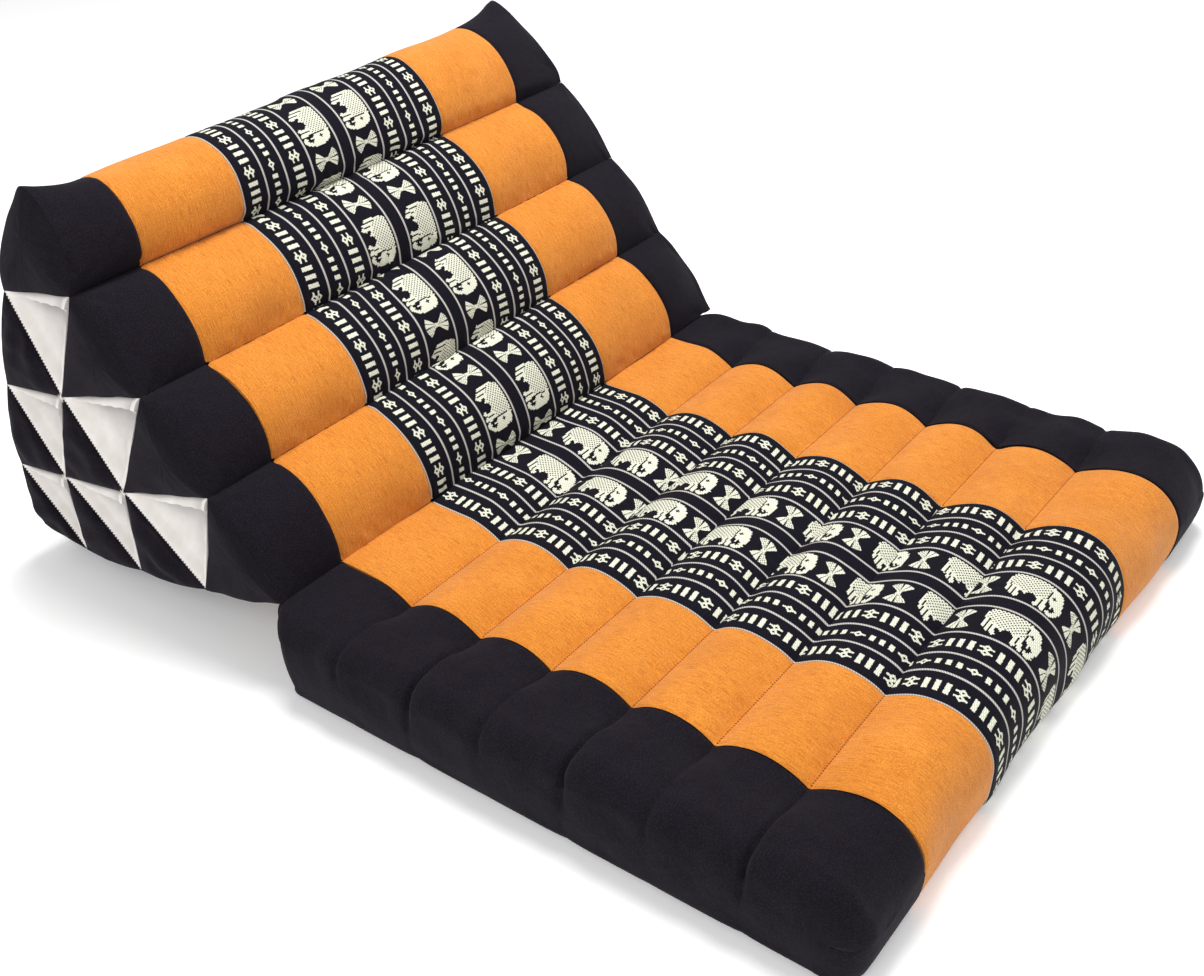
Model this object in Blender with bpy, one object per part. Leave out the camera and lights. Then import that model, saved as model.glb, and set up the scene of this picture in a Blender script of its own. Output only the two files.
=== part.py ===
"""Thai triangle cushion with a fold-out mat, lying open on the floor.

Units are metres, with +Z up.  X runs along the rolls, the mat reaches towards -Y and the
triangular backrest stands towards +Y.  The origin is the centre of the footprint.

Every section point below is a (y, z) pair measured from the hinge seam, the line where the
foot of the backrest is sewn to the top rear edge of the mat.
"""
import math

import bmesh
import bpy
from mathutils import Vector

# Driving dimensions
GAP = 0.0003            # clearance between neighbouring filled pieces
SEAM_SPAN = 0.570       # from one black seam to the other, along X
ORANGE_NEAR = 0.130     # orange panel on the -X side
ORANGE_FAR = 0.137      # orange panel on the +X side
BLACK_NEAR = 0.080      # black end of a roll on the -X side, from its seam to its end face
BLACK_FAR = 0.090       # the same on the +X side
BLACK_MAT = 0.104       # black border of the mat, from its seam to its side
HINGE_HEIGHT = 0.096    # hinge seam above the floor
MAT_LENGTH = 0.613      # from the hinge seam to the front of the mat
FRONT_SKEW = 0.016      # how much longer the mat is on the +X side
FRONT_DRAW = 0.008      # how far its front is drawn in at the middle
WEDGE_DEPTH = 0.390     # from the hinge seam to the back of the backrest
ROLL_SWELL = 0.023      # how far a roll stands proud between its two grooves
BACK_SWELL = 0.006      # the same for the back of an inner cell
BASE_SWELL = 0.004      # the same for the underside of the backrest

# The end cells close with two sewn triangles, a plump black one and a sunk white one
PATCH_DEPTH = 0.045     # from the end face in to the filled tube behind
BLACK_PUFF = 0.007
WHITE_SINK = 0.015
WHITE_LIP = 0.22        # share of a white triangle's height over which it sinks from its rim
PUFF_CURVE = 0.6        # how squarely a black one bulges, from 1, pointed, to 0, square
END_DOME = 0.009        # how far the end of a roll domes out

# Where the end faces are drawn in, at the top corner and at the bottom rear corner
TOP_DRAW = 0.016
TOP_DRAW_Z = (0.240, 0.340)     # grows between these heights
FOOT_DRAW = 0.008
FOOT_DRAW_Z = (0.060, -0.090)
FOOT_DRAW_Y = (0.120, 0.350)
TWIST = 0.015           # the top roll leans forward by this at the near seam and back at the far one

# Channels of the mat
VALLEYS = (0.0867, 0.1714, 0.2523, 0.3385, 0.4218, 0.5096)
VALLEY_DROP = 0.017     # stitched line below the hinge seam
CREST_DROP = 0.002      # top of a channel below the hinge seam
NOSE_START = 0.563      # where the last channel starts to round down over the front
NOSE_DROP = 0.050       # height of the front's foremost line below the hinge seam
NOSE_TUCK = 0.016       # how far the front's foot is tucked back
TOP_ROUND = 0.026       # rounding of the mat's top side edge
FOOT_ROUND = 0.010      # rounding of its bottom side edge
CORNER_RUN = 0.060      # how far along the side its corners are rounded
FOOT_SLANT = 0.008      # how far its side leans in towards the floor at the rear; upright in front
SIDE_GROOVE = 0.004     # depth of the channel seams down its side

HINGE_Y = (MAT_LENGTH + FRONT_SKEW - WEDGE_DEPTH) / 2
FLOOR = -HINGE_HEIGHT
FOOT = FLOOR - GAP / 2  # the inset of a section brings it back to the floor

# Crossing points of the seams in the backrest's section
SEAMS = {
    "hinge": (0.000, 0.000),
    "groove_34": (0.079, 0.087),
    "groove_23": (0.151, 0.170),
    "groove_12": (0.225, 0.252),
    "back_12": (0.331, 0.231),
    "back_23": (0.370, 0.118),
    "back_34": (0.386, 0.018),
    "inner_2": (0.277, 0.132),
    "inner_3a": (0.307, 0.030),
    "inner_3b": (0.210, 0.046),
    "base_1": (0.110, -0.030),
    "base_2": (0.216, -0.070),
    "base_3": (0.314, FOOT),
    "base_4": (0.378, FOOT),
}

# The sewn ends hold the underside up, so there its crossing points lie higher
END_SEAMS = {
    **SEAMS,
    "base_2": (0.215, -0.051),
    "base_3": (0.312, -0.066),
    "base_4": (0.382, -0.060),
}

# Roll name, upper groove, inner corner, lower groove
ROLLS = (
    ("roll_2", "groove_12", "inner_2", "groove_23"),
    ("roll_3", "groove_23", "inner_3b", "groove_34"),
    ("roll_4", "groove_34", "base_1", "hinge"),
)

# Cell name, rear top, front top, front bottom, rear bottom; one cell rests flat on the floor
RESTING_CELL = "4a"
CELLS = (
    ("2a", "back_12", "groove_12", "inner_2", "back_23"),
    ("3a", "back_23", "inner_2", "inner_3a", "back_34"),
    ("3b", "inner_2", "groove_23", "inner_3b", "inner_3a"),
    ("4a", "back_34", "inner_3a", "base_3", "base_4"),
    ("4b", "inner_3a", "inner_3b", "base_2", "base_3"),
    ("4c", "inner_3b", "groove_34", "base_1", "base_2"),
)

# The top roll's outline from the upper groove over the crest to the back:
# (y, z) along the roll, (y, z) at its ends, where the corner stands up like an ear
CREST = (
    ((0.220, 0.270), (0.226, 0.268)),
    ((0.229, 0.298), (0.240, 0.296)),
    ((0.250, 0.320), (0.266, 0.323)),
    ((0.280, 0.331), (0.300, 0.343)),
    ((0.311, 0.321), (0.318, 0.318)),
    ((0.330, 0.284), (0.330, 0.280)),
)

# Along a black roll end: share of its length, share of the swell left there
END_TAPER = ((0.0, 1.0), (0.30, 0.98), (0.55, 0.90), (0.75, 0.76), (0.89, 0.56), (0.97, 0.34), (1.0, 0.16))

# Dome of a roll's end face: share of the section, share of the dome
END_RINGS = ((0.72, 0.55), (0.38, 0.88))

# Across a black mat border: share of its width, share of the rounding, share of the valley depth
BORDER_TAPER = (
    (0.0, 0.0, 1.0),
    (0.25, 0.0, 0.95),
    (0.50, 0.0, 0.45),
    (0.76, 0.03, 0.30),
    (0.88, 0.22, 0.30),
    (0.96, 0.55, 0.25),
    (1.0, 1.0, 0.15),
)

SHARPEST = 0.3          # limits how far a sharp corner of a section moves when the section is inset
ARC_STEPS = 12
BACK_STEPS = 4
CHANNEL_STEPS = 6
NOSE_STEPS = 6
PATCH_STEPS = 7

FABRICS = {
    "black": (0.012, 0.012, 0.018),
    "orange": (0.78, 0.26, 0.045),
    "brocade": (0.20, 0.20, 0.17),
    "white": (0.74, 0.70, 0.65),
}


def clear_scene():
    """Leaves nothing of what the file held before."""
    for obj in list(bpy.data.objects):
        bpy.data.objects.remove(obj, do_unlink=True)


def fabric(name, colour):
    """A plain cloth material of its own for one sub-part."""
    material = bpy.data.materials.new(name)
    material.use_nodes = True
    shader = material.node_tree.nodes["Principled BSDF"]
    shader.inputs["Base Color"].default_value = (*colour, 1.0)
    shader.inputs["Roughness"].default_value = 0.9
    shader.inputs["Metallic"].default_value = 0.0
    return material


def place(x, point):
    """A section point at x, in the part's own frame."""
    return Vector((x, point[0] + HINGE_Y, point[1] + HINGE_HEIGHT))


def make_object(name, slot, verts, faces):
    """One closed piece with its faces pointing out and a material of its own."""
    mesh = bpy.data.meshes.new(name)
    mesh.from_pydata(verts, [], faces)
    work = bmesh.new()
    work.from_mesh(mesh)
    bmesh.ops.recalc_face_normals(work, faces=work.faces)
    work.to_mesh(mesh)
    work.free()
    mesh.shade_smooth()
    mesh.set_sharp_from_angle(angle=math.radians(40))
    mesh.materials.append(fabric(name, FABRICS[slot]))
    obj = bpy.data.objects.new(name, mesh)
    bpy.context.scene.collection.objects.link(obj)
    return obj


def ramp(value, start, end):
    """Smooth rise from 0 at start to 1 at end."""
    share = min(max((value - start) / (end - start), 0.0), 1.0)
    return share * share * (3.0 - 2.0 * share)


def arc(start, end, swell, steps, away):
    """Points of a circular arc from start up to end, swelling to the side away from a point."""
    start, end, away = Vector(start), Vector(end), Vector(away)
    chord = end - start
    normal = Vector((-chord.y, chord.x)).normalized()
    if normal.dot(away - start) > 0:
        normal = -normal
    if abs(swell) < 1e-6:
        return [start + chord * step / steps for step in range(steps)]
    half = chord.length / 2
    radius = (half * half + swell * swell) / (2 * swell)
    half_angle = math.asin(half / radius)
    middle = (start + end) / 2 + normal * (swell - radius)
    points = []
    for step in range(steps):
        angle = half_angle * (2 * step / steps - 1)
        points.append(middle + radius * (normal * math.cos(angle) + chord.normalized() * math.sin(angle)))
    return points


def inset(points, distance):
    """A closed section moved inwards by a distance, so that neighbours stay apart."""
    area = sum(a.x * b.y - b.x * a.y for a, b in zip(points, points[1:] + points[:1]))
    turn = 1.0 if area > 0 else -1.0
    moved = []
    for index, point in enumerate(points):
        before = (point - points[index - 1]).normalized()
        after = (points[(index + 1) % len(points)] - point).normalized()
        side_a = Vector((-before.y, before.x)) * turn
        side_b = Vector((-after.y, after.x)) * turn
        bisector = side_a + side_b
        moved.append(point + bisector * (2 * distance / max(bisector.length_squared, SHARPEST)))
    return moved


def end_draw(point):
    """How far the end face is drawn in at a section point."""
    y, z = point
    return (TOP_DRAW * ramp(z, *TOP_DRAW_Z)
            + FOOT_DRAW * ramp(z, *FOOT_DRAW_Z) * ramp(y, *FOOT_DRAW_Y))


def panel_edges():
    """X of the four seams between the five bands of cloth."""
    left = -SEAM_SPAN / 2
    right = SEAM_SPAN / 2
    return left, left + ORANGE_NEAR, right - ORANGE_FAR, right


def bands():
    """The three inner bands: name, slot and the X of both sides."""
    seam_1, seam_2, seam_3, seam_4 = panel_edges()
    yield "orange_near", "orange", seam_1 + GAP / 2, seam_2 - GAP / 2
    yield "brocade", "brocade", seam_2 + GAP / 2, seam_3 - GAP / 2
    yield "orange_far", "orange", seam_3 + GAP / 2, seam_4 - GAP / 2


def black_ends():
    """The two black ends: side, X of the seam, the way out and the length of a roll's end."""
    seam_1, _, _, seam_4 = panel_edges()
    yield "near", seam_1 - GAP / 2, -1.0, BLACK_NEAR
    yield "far", seam_4 + GAP / 2, 1.0, BLACK_FAR


def loft(rings, tip=None):
    """Verts and faces of a closed skin over rings of equal count, with a point at the end if given."""
    count = len(rings[0])
    verts = [vert for ring in rings for vert in ring]
    faces = [list(range(count))]
    for row in range(len(rings) - 1):
        for column in range(count):
            a = row * count + column
            b = row * count + (column + 1) % count
            faces.append([a, b, b + count, a + count])
    last = (len(rings) - 1) * count
    if tip is None:
        faces.append(list(range(last, last + count)))
    else:
        verts.append(tip)
        for column in range(count):
            faces.append([last + column, last + (column + 1) % count, len(verts) - 1])
    return verts, faces


def roll_section(upper, inner, lower, swell):
    """Section of a roll: the triangle from its two grooves to its inner corner, swollen outside."""
    top, corner, foot = SEAMS[upper], SEAMS[inner], SEAMS[lower]
    points = arc(top, foot, ROLL_SWELL * swell, ARC_STEPS, corner)
    base_swell = BASE_SWELL if lower == "hinge" else 0.0
    points += arc(foot, corner, base_swell, BACK_STEPS, top)
    points.append(Vector(corner))
    return inset(points, GAP / 2)


def top_section(x, end_share):
    """Section of the top roll at x, from its plain form at 0 to its standing corner at 1."""
    groove_z = SEAMS["groove_12"][1]
    crest_rise = max(point[0][1] for point in CREST) - groove_z
    lean = TWIST * x / (SEAM_SPAN / 2)
    outline = [Vector(SEAMS["groove_12"])]
    for middle, end in CREST:
        point = Vector(middle).lerp(Vector(end), end_share)
        height = min((point.y - groove_z) / crest_rise, 1.0)
        outline.append(point + Vector((lean * height, 0.0)))
    outline.append(Vector(SEAMS["back_12"]))
    points = []
    for index in range(len(outline) - 1):
        before = outline[max(index - 1, 0)]
        start, end = outline[index], outline[index + 1]
        after = outline[min(index + 2, len(outline) - 1)]
        for half in (0.0, 0.5):
            points.append(catmull(before, start, end, after, half))
    points.append(outline[-1])
    return inset(points, GAP / 2)


def catmull(before, start, end, after, share):
    """Point on the smooth curve from start to end."""
    slope_a = (end - before) / 2
    slope_b = (after - start) / 2
    s2, s3 = share * share, share ** 3
    return (start * (2 * s3 - 3 * s2 + 1) + slope_a * (s3 - 2 * s2 + share)
            + end * (3 * s2 - 2 * s3) + slope_b * (s3 - s2))


def domed_end(section_at, seam, out, length):
    """Rings of a black roll end and the tip of its end face."""
    rings = []
    for share, swell in END_TAPER:
        section = section_at(seam + out * share * length, share, swell)
        rings.append([place(seam + out * share * (length - end_draw(p)), p) for p in section])
    section = section_at(seam + out * length, *END_TAPER[-1])
    centre = sum(section, Vector((0.0, 0.0))) / len(section)
    for scale, dome in END_RINGS:
        ring = []
        for point in section:
            point = centre + (point - centre) * scale
            ring.append(place(seam + out * (length - end_draw(point) + END_DOME * dome), point))
        rings.append(ring)
    tip = place(seam + out * (length - end_draw(centre) + END_DOME), centre)
    return rings, tip


def make_roll(name, section_at):
    """One stuffed roll as five filled pieces, a piece for each band of cloth."""
    for band, slot, left, right in bands():
        rings = [[place(x, point) for point in section_at(x, 0.0, 1.0)] for x in (left, right)]
        make_object(f"{name}_{band}", slot, *loft(rings))
    for side, seam, out, length in black_ends():
        rings, tip = domed_end(section_at, seam, out, length)
        make_object(f"{name}_black_{side}", "black", *loft(rings, tip))


def make_rolls():
    """The three plain rolls of the slope and the twisted one at the top."""
    for name, *corners in ROLLS:
        make_roll(name, lambda x, share, swell, at=corners: roll_section(*at, swell))
    make_roll("roll_1", lambda x, share, swell: top_section(x, share ** 3))


def cell_swells(cell, rear_top, front_bottom):
    """Swell of a cell's rear side and of its underside, where these are outer sides."""
    rear = BACK_SWELL if rear_top.startswith("back") else 0.0
    base = BASE_SWELL if front_bottom.startswith("base") and cell != RESTING_CELL else 0.0
    return rear, base


def make_cell(cell, rear_top, front_top, front_bottom, rear_bottom):
    """The filled tube of an inner cell, straight through the backrest."""
    a, b, c, d = (Vector(SEAMS[key]) for key in (rear_top, front_top, front_bottom, rear_bottom))
    rear, base = cell_swells(cell, rear_top, front_bottom)
    middle = (a + b + c + d) / 4
    points = [a, b]
    points += arc(c, d, base, BACK_STEPS, middle)
    points += arc(d, a, rear, BACK_STEPS, middle)
    section = inset(points, GAP / 2)
    ends = [seam + out * (length - PATCH_DEPTH - GAP) for _, seam, out, length in black_ends()]
    rings = [[place(x, point) for point in section] for x in ends]
    make_object(f"cell_{cell}", "black", *loft(rings))


def patch_heights(kind, a, b, c):
    """Height of a sewn triangle over its rim; a, b and c are its corner weights."""
    if kind == "black":
        return BLACK_PUFF * min(27 * a * b * c, 1.0) ** PUFF_CURVE
    return -WHITE_SINK * ramp(c, 0.0, WHITE_LIP) * ramp(a, 0.0, WHITE_LIP) * math.sqrt(b)


def patch_point(corners, swells, weights):
    """Point of a triangle with two swollen sides, at three corner weights."""
    first, second, third = corners
    a, b, c = weights
    middle = (first + second + third) / 3
    swell_12, swell_31 = swells
    side_12 = outward(first, second, middle) * swell_12
    side_31 = outward(third, first, middle) * swell_31
    return first * a + second * b + third * c + side_12 * 4 * a * b + side_31 * 4 * a * c


def make_patch(name, kind, keys, swells, end):
    """A triangular end patch with its filling, from its sewn rim in to the tube."""
    _, seam, out, length = end
    rim_corners = inset([Vector(END_SEAMS[key]) for key in keys], GAP / 2)
    foot_corners = inset([Vector(SEAMS[key]) for key in keys], GAP / 2)
    verts, foot, index = [], [], {}
    for i in range(PATCH_STEPS + 1):
        for j in range(PATCH_STEPS + 1 - i):
            a = 1 - (i + j) / PATCH_STEPS
            b = i / PATCH_STEPS
            c = j / PATCH_STEPS
            point = patch_point(rim_corners, swells, (a, b, c))
            height = length - end_draw(point) + patch_heights(kind, a, b, c)
            index[(i, j)] = len(verts)
            verts.append(place(seam + out * height, point))
            foot_point = patch_point(foot_corners, swells, (a, b, c))
            foot.append(place(seam + out * (length - PATCH_DEPTH), foot_point))
    faces = []
    for i in range(PATCH_STEPS):
        for j in range(PATCH_STEPS - i):
            faces.append([index[(i, j)], index[(i + 1, j)], index[(i, j + 1)]])
            if i + j < PATCH_STEPS - 1:
                faces.append([index[(i + 1, j)], index[(i + 1, j + 1)], index[(i, j + 1)]])
    rim = [index[(i, 0)] for i in range(PATCH_STEPS)]
    rim += [index[(PATCH_STEPS - i, i)] for i in range(PATCH_STEPS)]
    rim += [index[(0, PATCH_STEPS - i)] for i in range(PATCH_STEPS)]
    base = len(verts)
    verts += [foot[k] for k in rim]
    for k in range(len(rim)):
        after = (k + 1) % len(rim)
        high, low = (k, after) if verts[rim[k]].z > verts[rim[after]].z else (after, k)
        faces.append([rim[high], rim[low], base + low])
        faces.append([rim[high], base + low, base + high])
    faces.append([base + k for k in range(len(rim))])
    make_object(name, kind, verts, faces)


def outward(start, end, middle):
    """Unit vector square to an edge, pointing away from the middle."""
    along = end - start
    normal = Vector((-along.y, along.x)).normalized()
    return -normal if normal.dot(middle - start) > 0 else normal


def make_patches(cell, rear_top, front_top, front_bottom, rear_bottom):
    """The black and the white triangle at both ends of a cell, split from rear top to front bottom."""
    black = (rear_bottom, rear_top, front_bottom)
    white = (rear_top, front_top, front_bottom)
    for end in black_ends():
        side = end[0]
        swells = cell_swells(cell, rear_top, front_bottom)
        make_patch(f"patch_{cell}_black_{side}", "black", black, swells, end)
        make_patch(f"patch_{cell}_white_{side}", "white", white, (0.0, 0.0), end)


def mat_top():
    """Top line of the mat from the hinge seam to its foremost line: (point, share of a valley)."""
    stations = (0.0, *VALLEYS)
    points = []
    for start, end in zip(stations, VALLEYS):
        for step in range(CHANNEL_STEPS):
            share = step / CHANNEL_STEPS
            valley = (2 * share - 1) ** 2
            height = -CREST_DROP
            if start == 0.0 and share < 0.5:
                height += (CREST_DROP - GAP / 2) * valley
                valley = 0.0
            points.append((Vector((-(start + (end - start) * share), height)), valley))
    last, run = VALLEYS[-1], NOSE_START - VALLEYS[-1]
    for step in range(CHANNEL_STEPS // 2):
        share = step / (CHANNEL_STEPS // 2)
        points.append((Vector((-(last + run * share), -CREST_DROP)), (1 - share) ** 2))
    for step in range(NOSE_STEPS + 1):
        angle = math.pi / 2 * (1 - step / NOSE_STEPS)
        y = -MAT_LENGTH + (MAT_LENGTH - NOSE_START) * (1 - math.cos(angle))
        z = -NOSE_DROP + (NOSE_DROP - CREST_DROP) * math.sin(angle)
        points.append((Vector((y, z)), 0.0))
    return points


def mat_foot(y):
    """Underside of the mat below a top point: flat, then up the tucked front."""
    tuck = -MAT_LENGTH + NOSE_TUCK
    if y > tuck:
        return Vector((y, FLOOR))
    share = (tuck - y) / NOSE_TUCK
    drop = (HINGE_HEIGHT - NOSE_DROP) * math.sqrt(max(1 - share * share, 0.0))
    return Vector((y, -NOSE_DROP - drop))


def mat_ring(rounding, valley_share):
    """Closed section of the mat, top points first and then the underside: (point, draw-in)."""
    centre = (FLOOR - CREST_DROP) / 2
    top, foot = [], []
    for point, valley in mat_top():
        y, z = point.x, point.y - (VALLEY_DROP - CREST_DROP) * valley * valley_share
        up = min(max((z - centre) / (-CREST_DROP - centre), 0.0), 1.0)
        ahead = ramp(y, CORNER_RUN - MAT_LENGTH, -MAT_LENGTH)
        back = ramp(y, -CORNER_RUN, 0.0)
        shift = TOP_ROUND * rounding * (ahead - back)
        low = mat_foot(y)
        down = min(max((centre - low.y) / (centre - FLOOR), 0.0), 1.0)
        drawn = SIDE_GROOVE * valley ** 2
        top.append((Vector((y + shift, z - TOP_ROUND * rounding * up)), drawn))
        drawn += FOOT_SLANT * down * (1 + y / MAT_LENGTH)
        foot.append((Vector((low.x + shift, low.y + FOOT_ROUND * rounding * down)), drawn))
    return top + foot[-2::-1]


def front_shaped(x, point):
    """A point of the mat, moved near the front, which runs askew and is drawn in at the middle."""
    across = min(max(x / SEAM_SPAN + 0.5, 0.0), 1.0)
    ahead = ramp(point.x, -VALLEYS[-1], -MAT_LENGTH)
    reach = FRONT_SKEW * across - FRONT_DRAW * 4 * across * (1 - across)
    return Vector((point.x - reach * ahead, point.y))


def make_mat():
    """The mat's five bands, each one filled piece with its stitched channels."""
    plain = [point for point, _ in mat_ring(0.0, 1.0)]
    for band, slot, left, right in bands():
        rings = [[place(x, front_shaped(x, point)) for point in plain] for x in (left, right)]
        make_object(f"mat_{band}", slot, *loft(rings))
    for side, seam, out, _ in black_ends():
        rings = []
        for share, rounding, valley in BORDER_TAPER:
            ring = []
            for point, drawn in mat_ring(rounding, valley):
                x = seam + out * (share * (BLACK_MAT - GAP / 2) - share ** 4 * drawn)
                ring.append(place(x, front_shaped(x, point)))
            rings.append(ring)
        make_object(f"mat_black_{side}", "black", *closed_side(rings, len(mat_top())))


def closed_side(rings, top_count):
    """Skin over the border's rings, with the side wall closed from top points to foot points."""
    verts, faces = loft(rings)
    faces.pop()
    last = (len(rings) - 1) * len(rings[0])
    total = len(rings[0])
    for step in range(top_count - 2):
        upper = last + step
        lower = last + total - 1 - step
        faces.append([upper, upper + 1, lower - 1, lower])
    front = last + top_count - 1
    faces.append([front - 1, front, front + 1])
    return verts, faces


clear_scene()
make_rolls()
for row in CELLS:
    make_cell(*row)
    make_patches(*row)
make_mat()
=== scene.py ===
"""Looks of a Thai triangle cushion with a fold-out mat: fine cloth over each filled solid.

Every piece follows the same seam lines as the solid that it stands for.  Section points are
(y, z) pairs in metres from the hinge seam, and cloth coordinates are metres along X and along
the section, so that weave and woven figures keep their size on every piece.
"""
import math

import bmesh
import bpy
import numpy as np
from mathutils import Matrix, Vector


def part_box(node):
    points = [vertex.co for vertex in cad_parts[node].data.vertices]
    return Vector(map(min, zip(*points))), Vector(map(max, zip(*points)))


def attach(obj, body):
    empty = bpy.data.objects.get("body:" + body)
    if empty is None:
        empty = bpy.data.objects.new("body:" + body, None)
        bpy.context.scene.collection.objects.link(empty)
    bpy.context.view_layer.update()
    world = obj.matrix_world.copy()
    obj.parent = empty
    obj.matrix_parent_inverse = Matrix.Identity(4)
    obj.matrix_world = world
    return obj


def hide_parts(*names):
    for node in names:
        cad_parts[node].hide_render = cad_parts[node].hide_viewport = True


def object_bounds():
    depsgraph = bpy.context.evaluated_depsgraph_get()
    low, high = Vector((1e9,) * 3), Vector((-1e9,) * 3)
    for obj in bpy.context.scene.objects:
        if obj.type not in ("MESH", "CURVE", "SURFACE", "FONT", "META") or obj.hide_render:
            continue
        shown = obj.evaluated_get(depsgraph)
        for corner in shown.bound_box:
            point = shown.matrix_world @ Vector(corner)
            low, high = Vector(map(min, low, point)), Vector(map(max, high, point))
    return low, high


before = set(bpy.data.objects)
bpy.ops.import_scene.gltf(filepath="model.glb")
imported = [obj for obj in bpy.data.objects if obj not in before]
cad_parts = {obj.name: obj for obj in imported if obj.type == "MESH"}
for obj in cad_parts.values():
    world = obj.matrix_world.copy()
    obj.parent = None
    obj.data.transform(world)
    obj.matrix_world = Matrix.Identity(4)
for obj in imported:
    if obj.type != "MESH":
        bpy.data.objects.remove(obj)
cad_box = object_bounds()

# Places read from the frame
GAP = 0.0003
HINGE_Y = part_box("mat_brocade")[1].y
HINGE_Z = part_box("mat_brocade")[1].z + GAP / 2
SEAMS_X = (
    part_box("roll_2_orange_near")[0].x - GAP / 2,
    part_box("roll_2_brocade")[0].x - GAP / 2,
    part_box("roll_2_brocade")[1].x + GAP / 2,
    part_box("roll_2_orange_far")[1].x + GAP / 2,
)
SEAM_SPAN = SEAMS_X[3] - SEAMS_X[0]

# Backrest
BLACK_NEAR = 0.080
BLACK_FAR = 0.090
ROLL_SWELL = 0.023
BACK_SWELL = 0.006
BASE_SWELL = 0.004
END_DOME = 0.008
END_SWELL = 0.27                # share of a roll's swell left at its end
EAR_CURVE = 1.6
TOP_DRAW = 0.012
TOP_DRAW_Z = (0.240, 0.340)
FOOT_DRAW = 0.008
FOOT_DRAW_Z = (0.060, -0.090)
FOOT_DRAW_Y = (0.120, 0.350)
TWIST = 0.015

# End triangles and the thread crosses between them
PATCH_DEPTH = 0.045
BLACK_PUFF = 0.007
PUFF_CURVE = 0.6
WHITE_SINK = 0.024
WHITE_RECEDE = 0.004            # how far the hidden foot of a white patch keeps from the seam lines
TOP_LIP = (0.0110, 0.0034)      # width at the front corner, height
FRONT_LIP = (0.0036, 0.0014)    # width, height
TIE_REACH = 0.0055
TIE_RADIUS = 0.0007
TIE_SIDES = 8
TIE_ANGLES = (0.25, 1.45)

# Mat
BLACK_MAT = 0.104
MAT_LENGTH = 0.613
FRONT_SKEW = 0.011
FRONT_DRAW = 0.0055
FRONT_RISE = 0.007
FRONT_HUMP = 0.0035
VALLEYS = (0.0867, 0.1714, 0.2523, 0.3385, 0.4218, 0.5096)
VALLEY_DROP = 0.017
CREST_DROP = 0.002
NOSE_START = 0.563
NOSE_DROP = 0.050
NOSE_TUCK = 0.016
TOP_ROUND = 0.026
FOOT_ROUND = 0.010
FOOT_SLANT = 0.008
SIDE_SWELL = 0.0035
SIDE_STEPS = 16
CORNER_RUN = 0.060
CORNER_SEAM = 0.0013
CORNER_PLAN = 0.018
CORNER_AT = 0.030
CREASE_SHARE = {"near": 1.0, "far": 0.35}
LONG_CREASE = (0.50, 0.0026, 0.0030)      # reach down the side, depth there, depth on top
SHORT_CREASE = (0.15, 0.0008, 0.0010)
HINGE_LIP = (0.0060, -0.0030)   # edge of the mat's cloth, tucked under the lowest roll
FLOOR = -HINGE_Z
FOOT = FLOOR - GAP / 2

# Unevenness of the cloth: height and size of its soft lumps and narrow pulls
FILLING = (0.0016, 0.045)
END_FILLING = (0.0018, 0.040)
CELL_FILLING = (0.0020, 0.045)
FACE_LUMPS = (0.0008, 0.025)
PATCH_LUMPS = (0.0012, 0.018)
POCKET_LUMPS = (0.0007, 0.014)
BORDER_LUMPS = (0.0009, 0.022)
ROLL_PULLS = (0.0007, 0.0065)
CELL_PULLS = (0.0006, 0.008)
MAT_PULLS = (0.0011, 0.0070)
LINE_WANDER = (0.0012, 0.05)
END_FOLDS = (0.0013, 0.034, 9)  # height, reach and number of the folds beside a groove
TUCK_WIDTH = 0.0022
ROLL_TUCK = 0.0014
MAT_TUCK = 0.0012

SEAMS = {
    "hinge": (0.000, 0.000),
    "groove_34": (0.079, 0.087),
    "groove_23": (0.151, 0.170),
    "groove_12": (0.225, 0.252),
    "back_12": (0.331, 0.231),
    "back_23": (0.370, 0.118),
    "back_34": (0.386, 0.018),
    "inner_2": (0.277, 0.132),
    "inner_3a": (0.307, 0.030),
    "inner_3b": (0.210, 0.046),
    "base_1": (0.110, -0.030),
    "base_2": (0.216, -0.070),
    "base_3": (0.314, FOOT),
    "base_4": (0.378, FOOT),
}
END_SEAMS = {
    **SEAMS,
    "base_2": (0.215, -0.051),
    "base_3": (0.312, -0.066),
    "base_4": (0.382, -0.060),
}

# Roll: upper groove, inner corner, lower groove
ROLLS = {
    "roll_2": ("groove_12", "inner_2", "groove_23"),
    "roll_3": ("groove_23", "inner_3b", "groove_34"),
    "roll_4": ("groove_34", "base_1", "hinge"),
}

# Cell, rear top, front top, front bottom, rear bottom
RESTING_CELL = "4a"
CELLS = (
    ("2a", "back_12", "groove_12", "inner_2", "back_23"),
    ("3a", "back_23", "inner_2", "inner_3a", "back_34"),
    ("3b", "inner_2", "groove_23", "inner_3b", "inner_3a"),
    ("4a", "back_34", "inner_3a", "base_3", "base_4"),
    ("4b", "inner_3a", "inner_3b", "base_2", "base_3"),
    ("4c", "inner_3b", "groove_34", "base_1", "base_2"),
)

# Outline of the top roll from the upper groove over the crest to the back: along it, at its ends
CREST = (
    ((0.220, 0.270), (0.226, 0.268)),
    ((0.229, 0.298), (0.240, 0.296)),
    ((0.250, 0.320), (0.266, 0.323)),
    ((0.280, 0.331), (0.300, 0.343)),
    ((0.311, 0.321), (0.318, 0.318)),
    ((0.330, 0.284), (0.330, 0.280)),
)

# Fineness of the cloth meshes
PLAIN_PITCH = 0.0032
BORDER_PITCH = 0.0022
CELL_PITCH = 0.0048
HIDDEN_PITCH = 0.03
UNDER_STEPS = 14
INNER_STEPS = 5
BASE_STEPS = 22
REAR_STEPS = 26
HIDDEN_STEPS = 3
BLACK_PATCH_STEPS = 34
WHITE_PATCH_STEPS = 60
NOSE_STEPS = 160
SEAM_SHARES = (0.0, 0.012, 0.026, 0.042)    # close rings beside the seam of a black end

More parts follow.
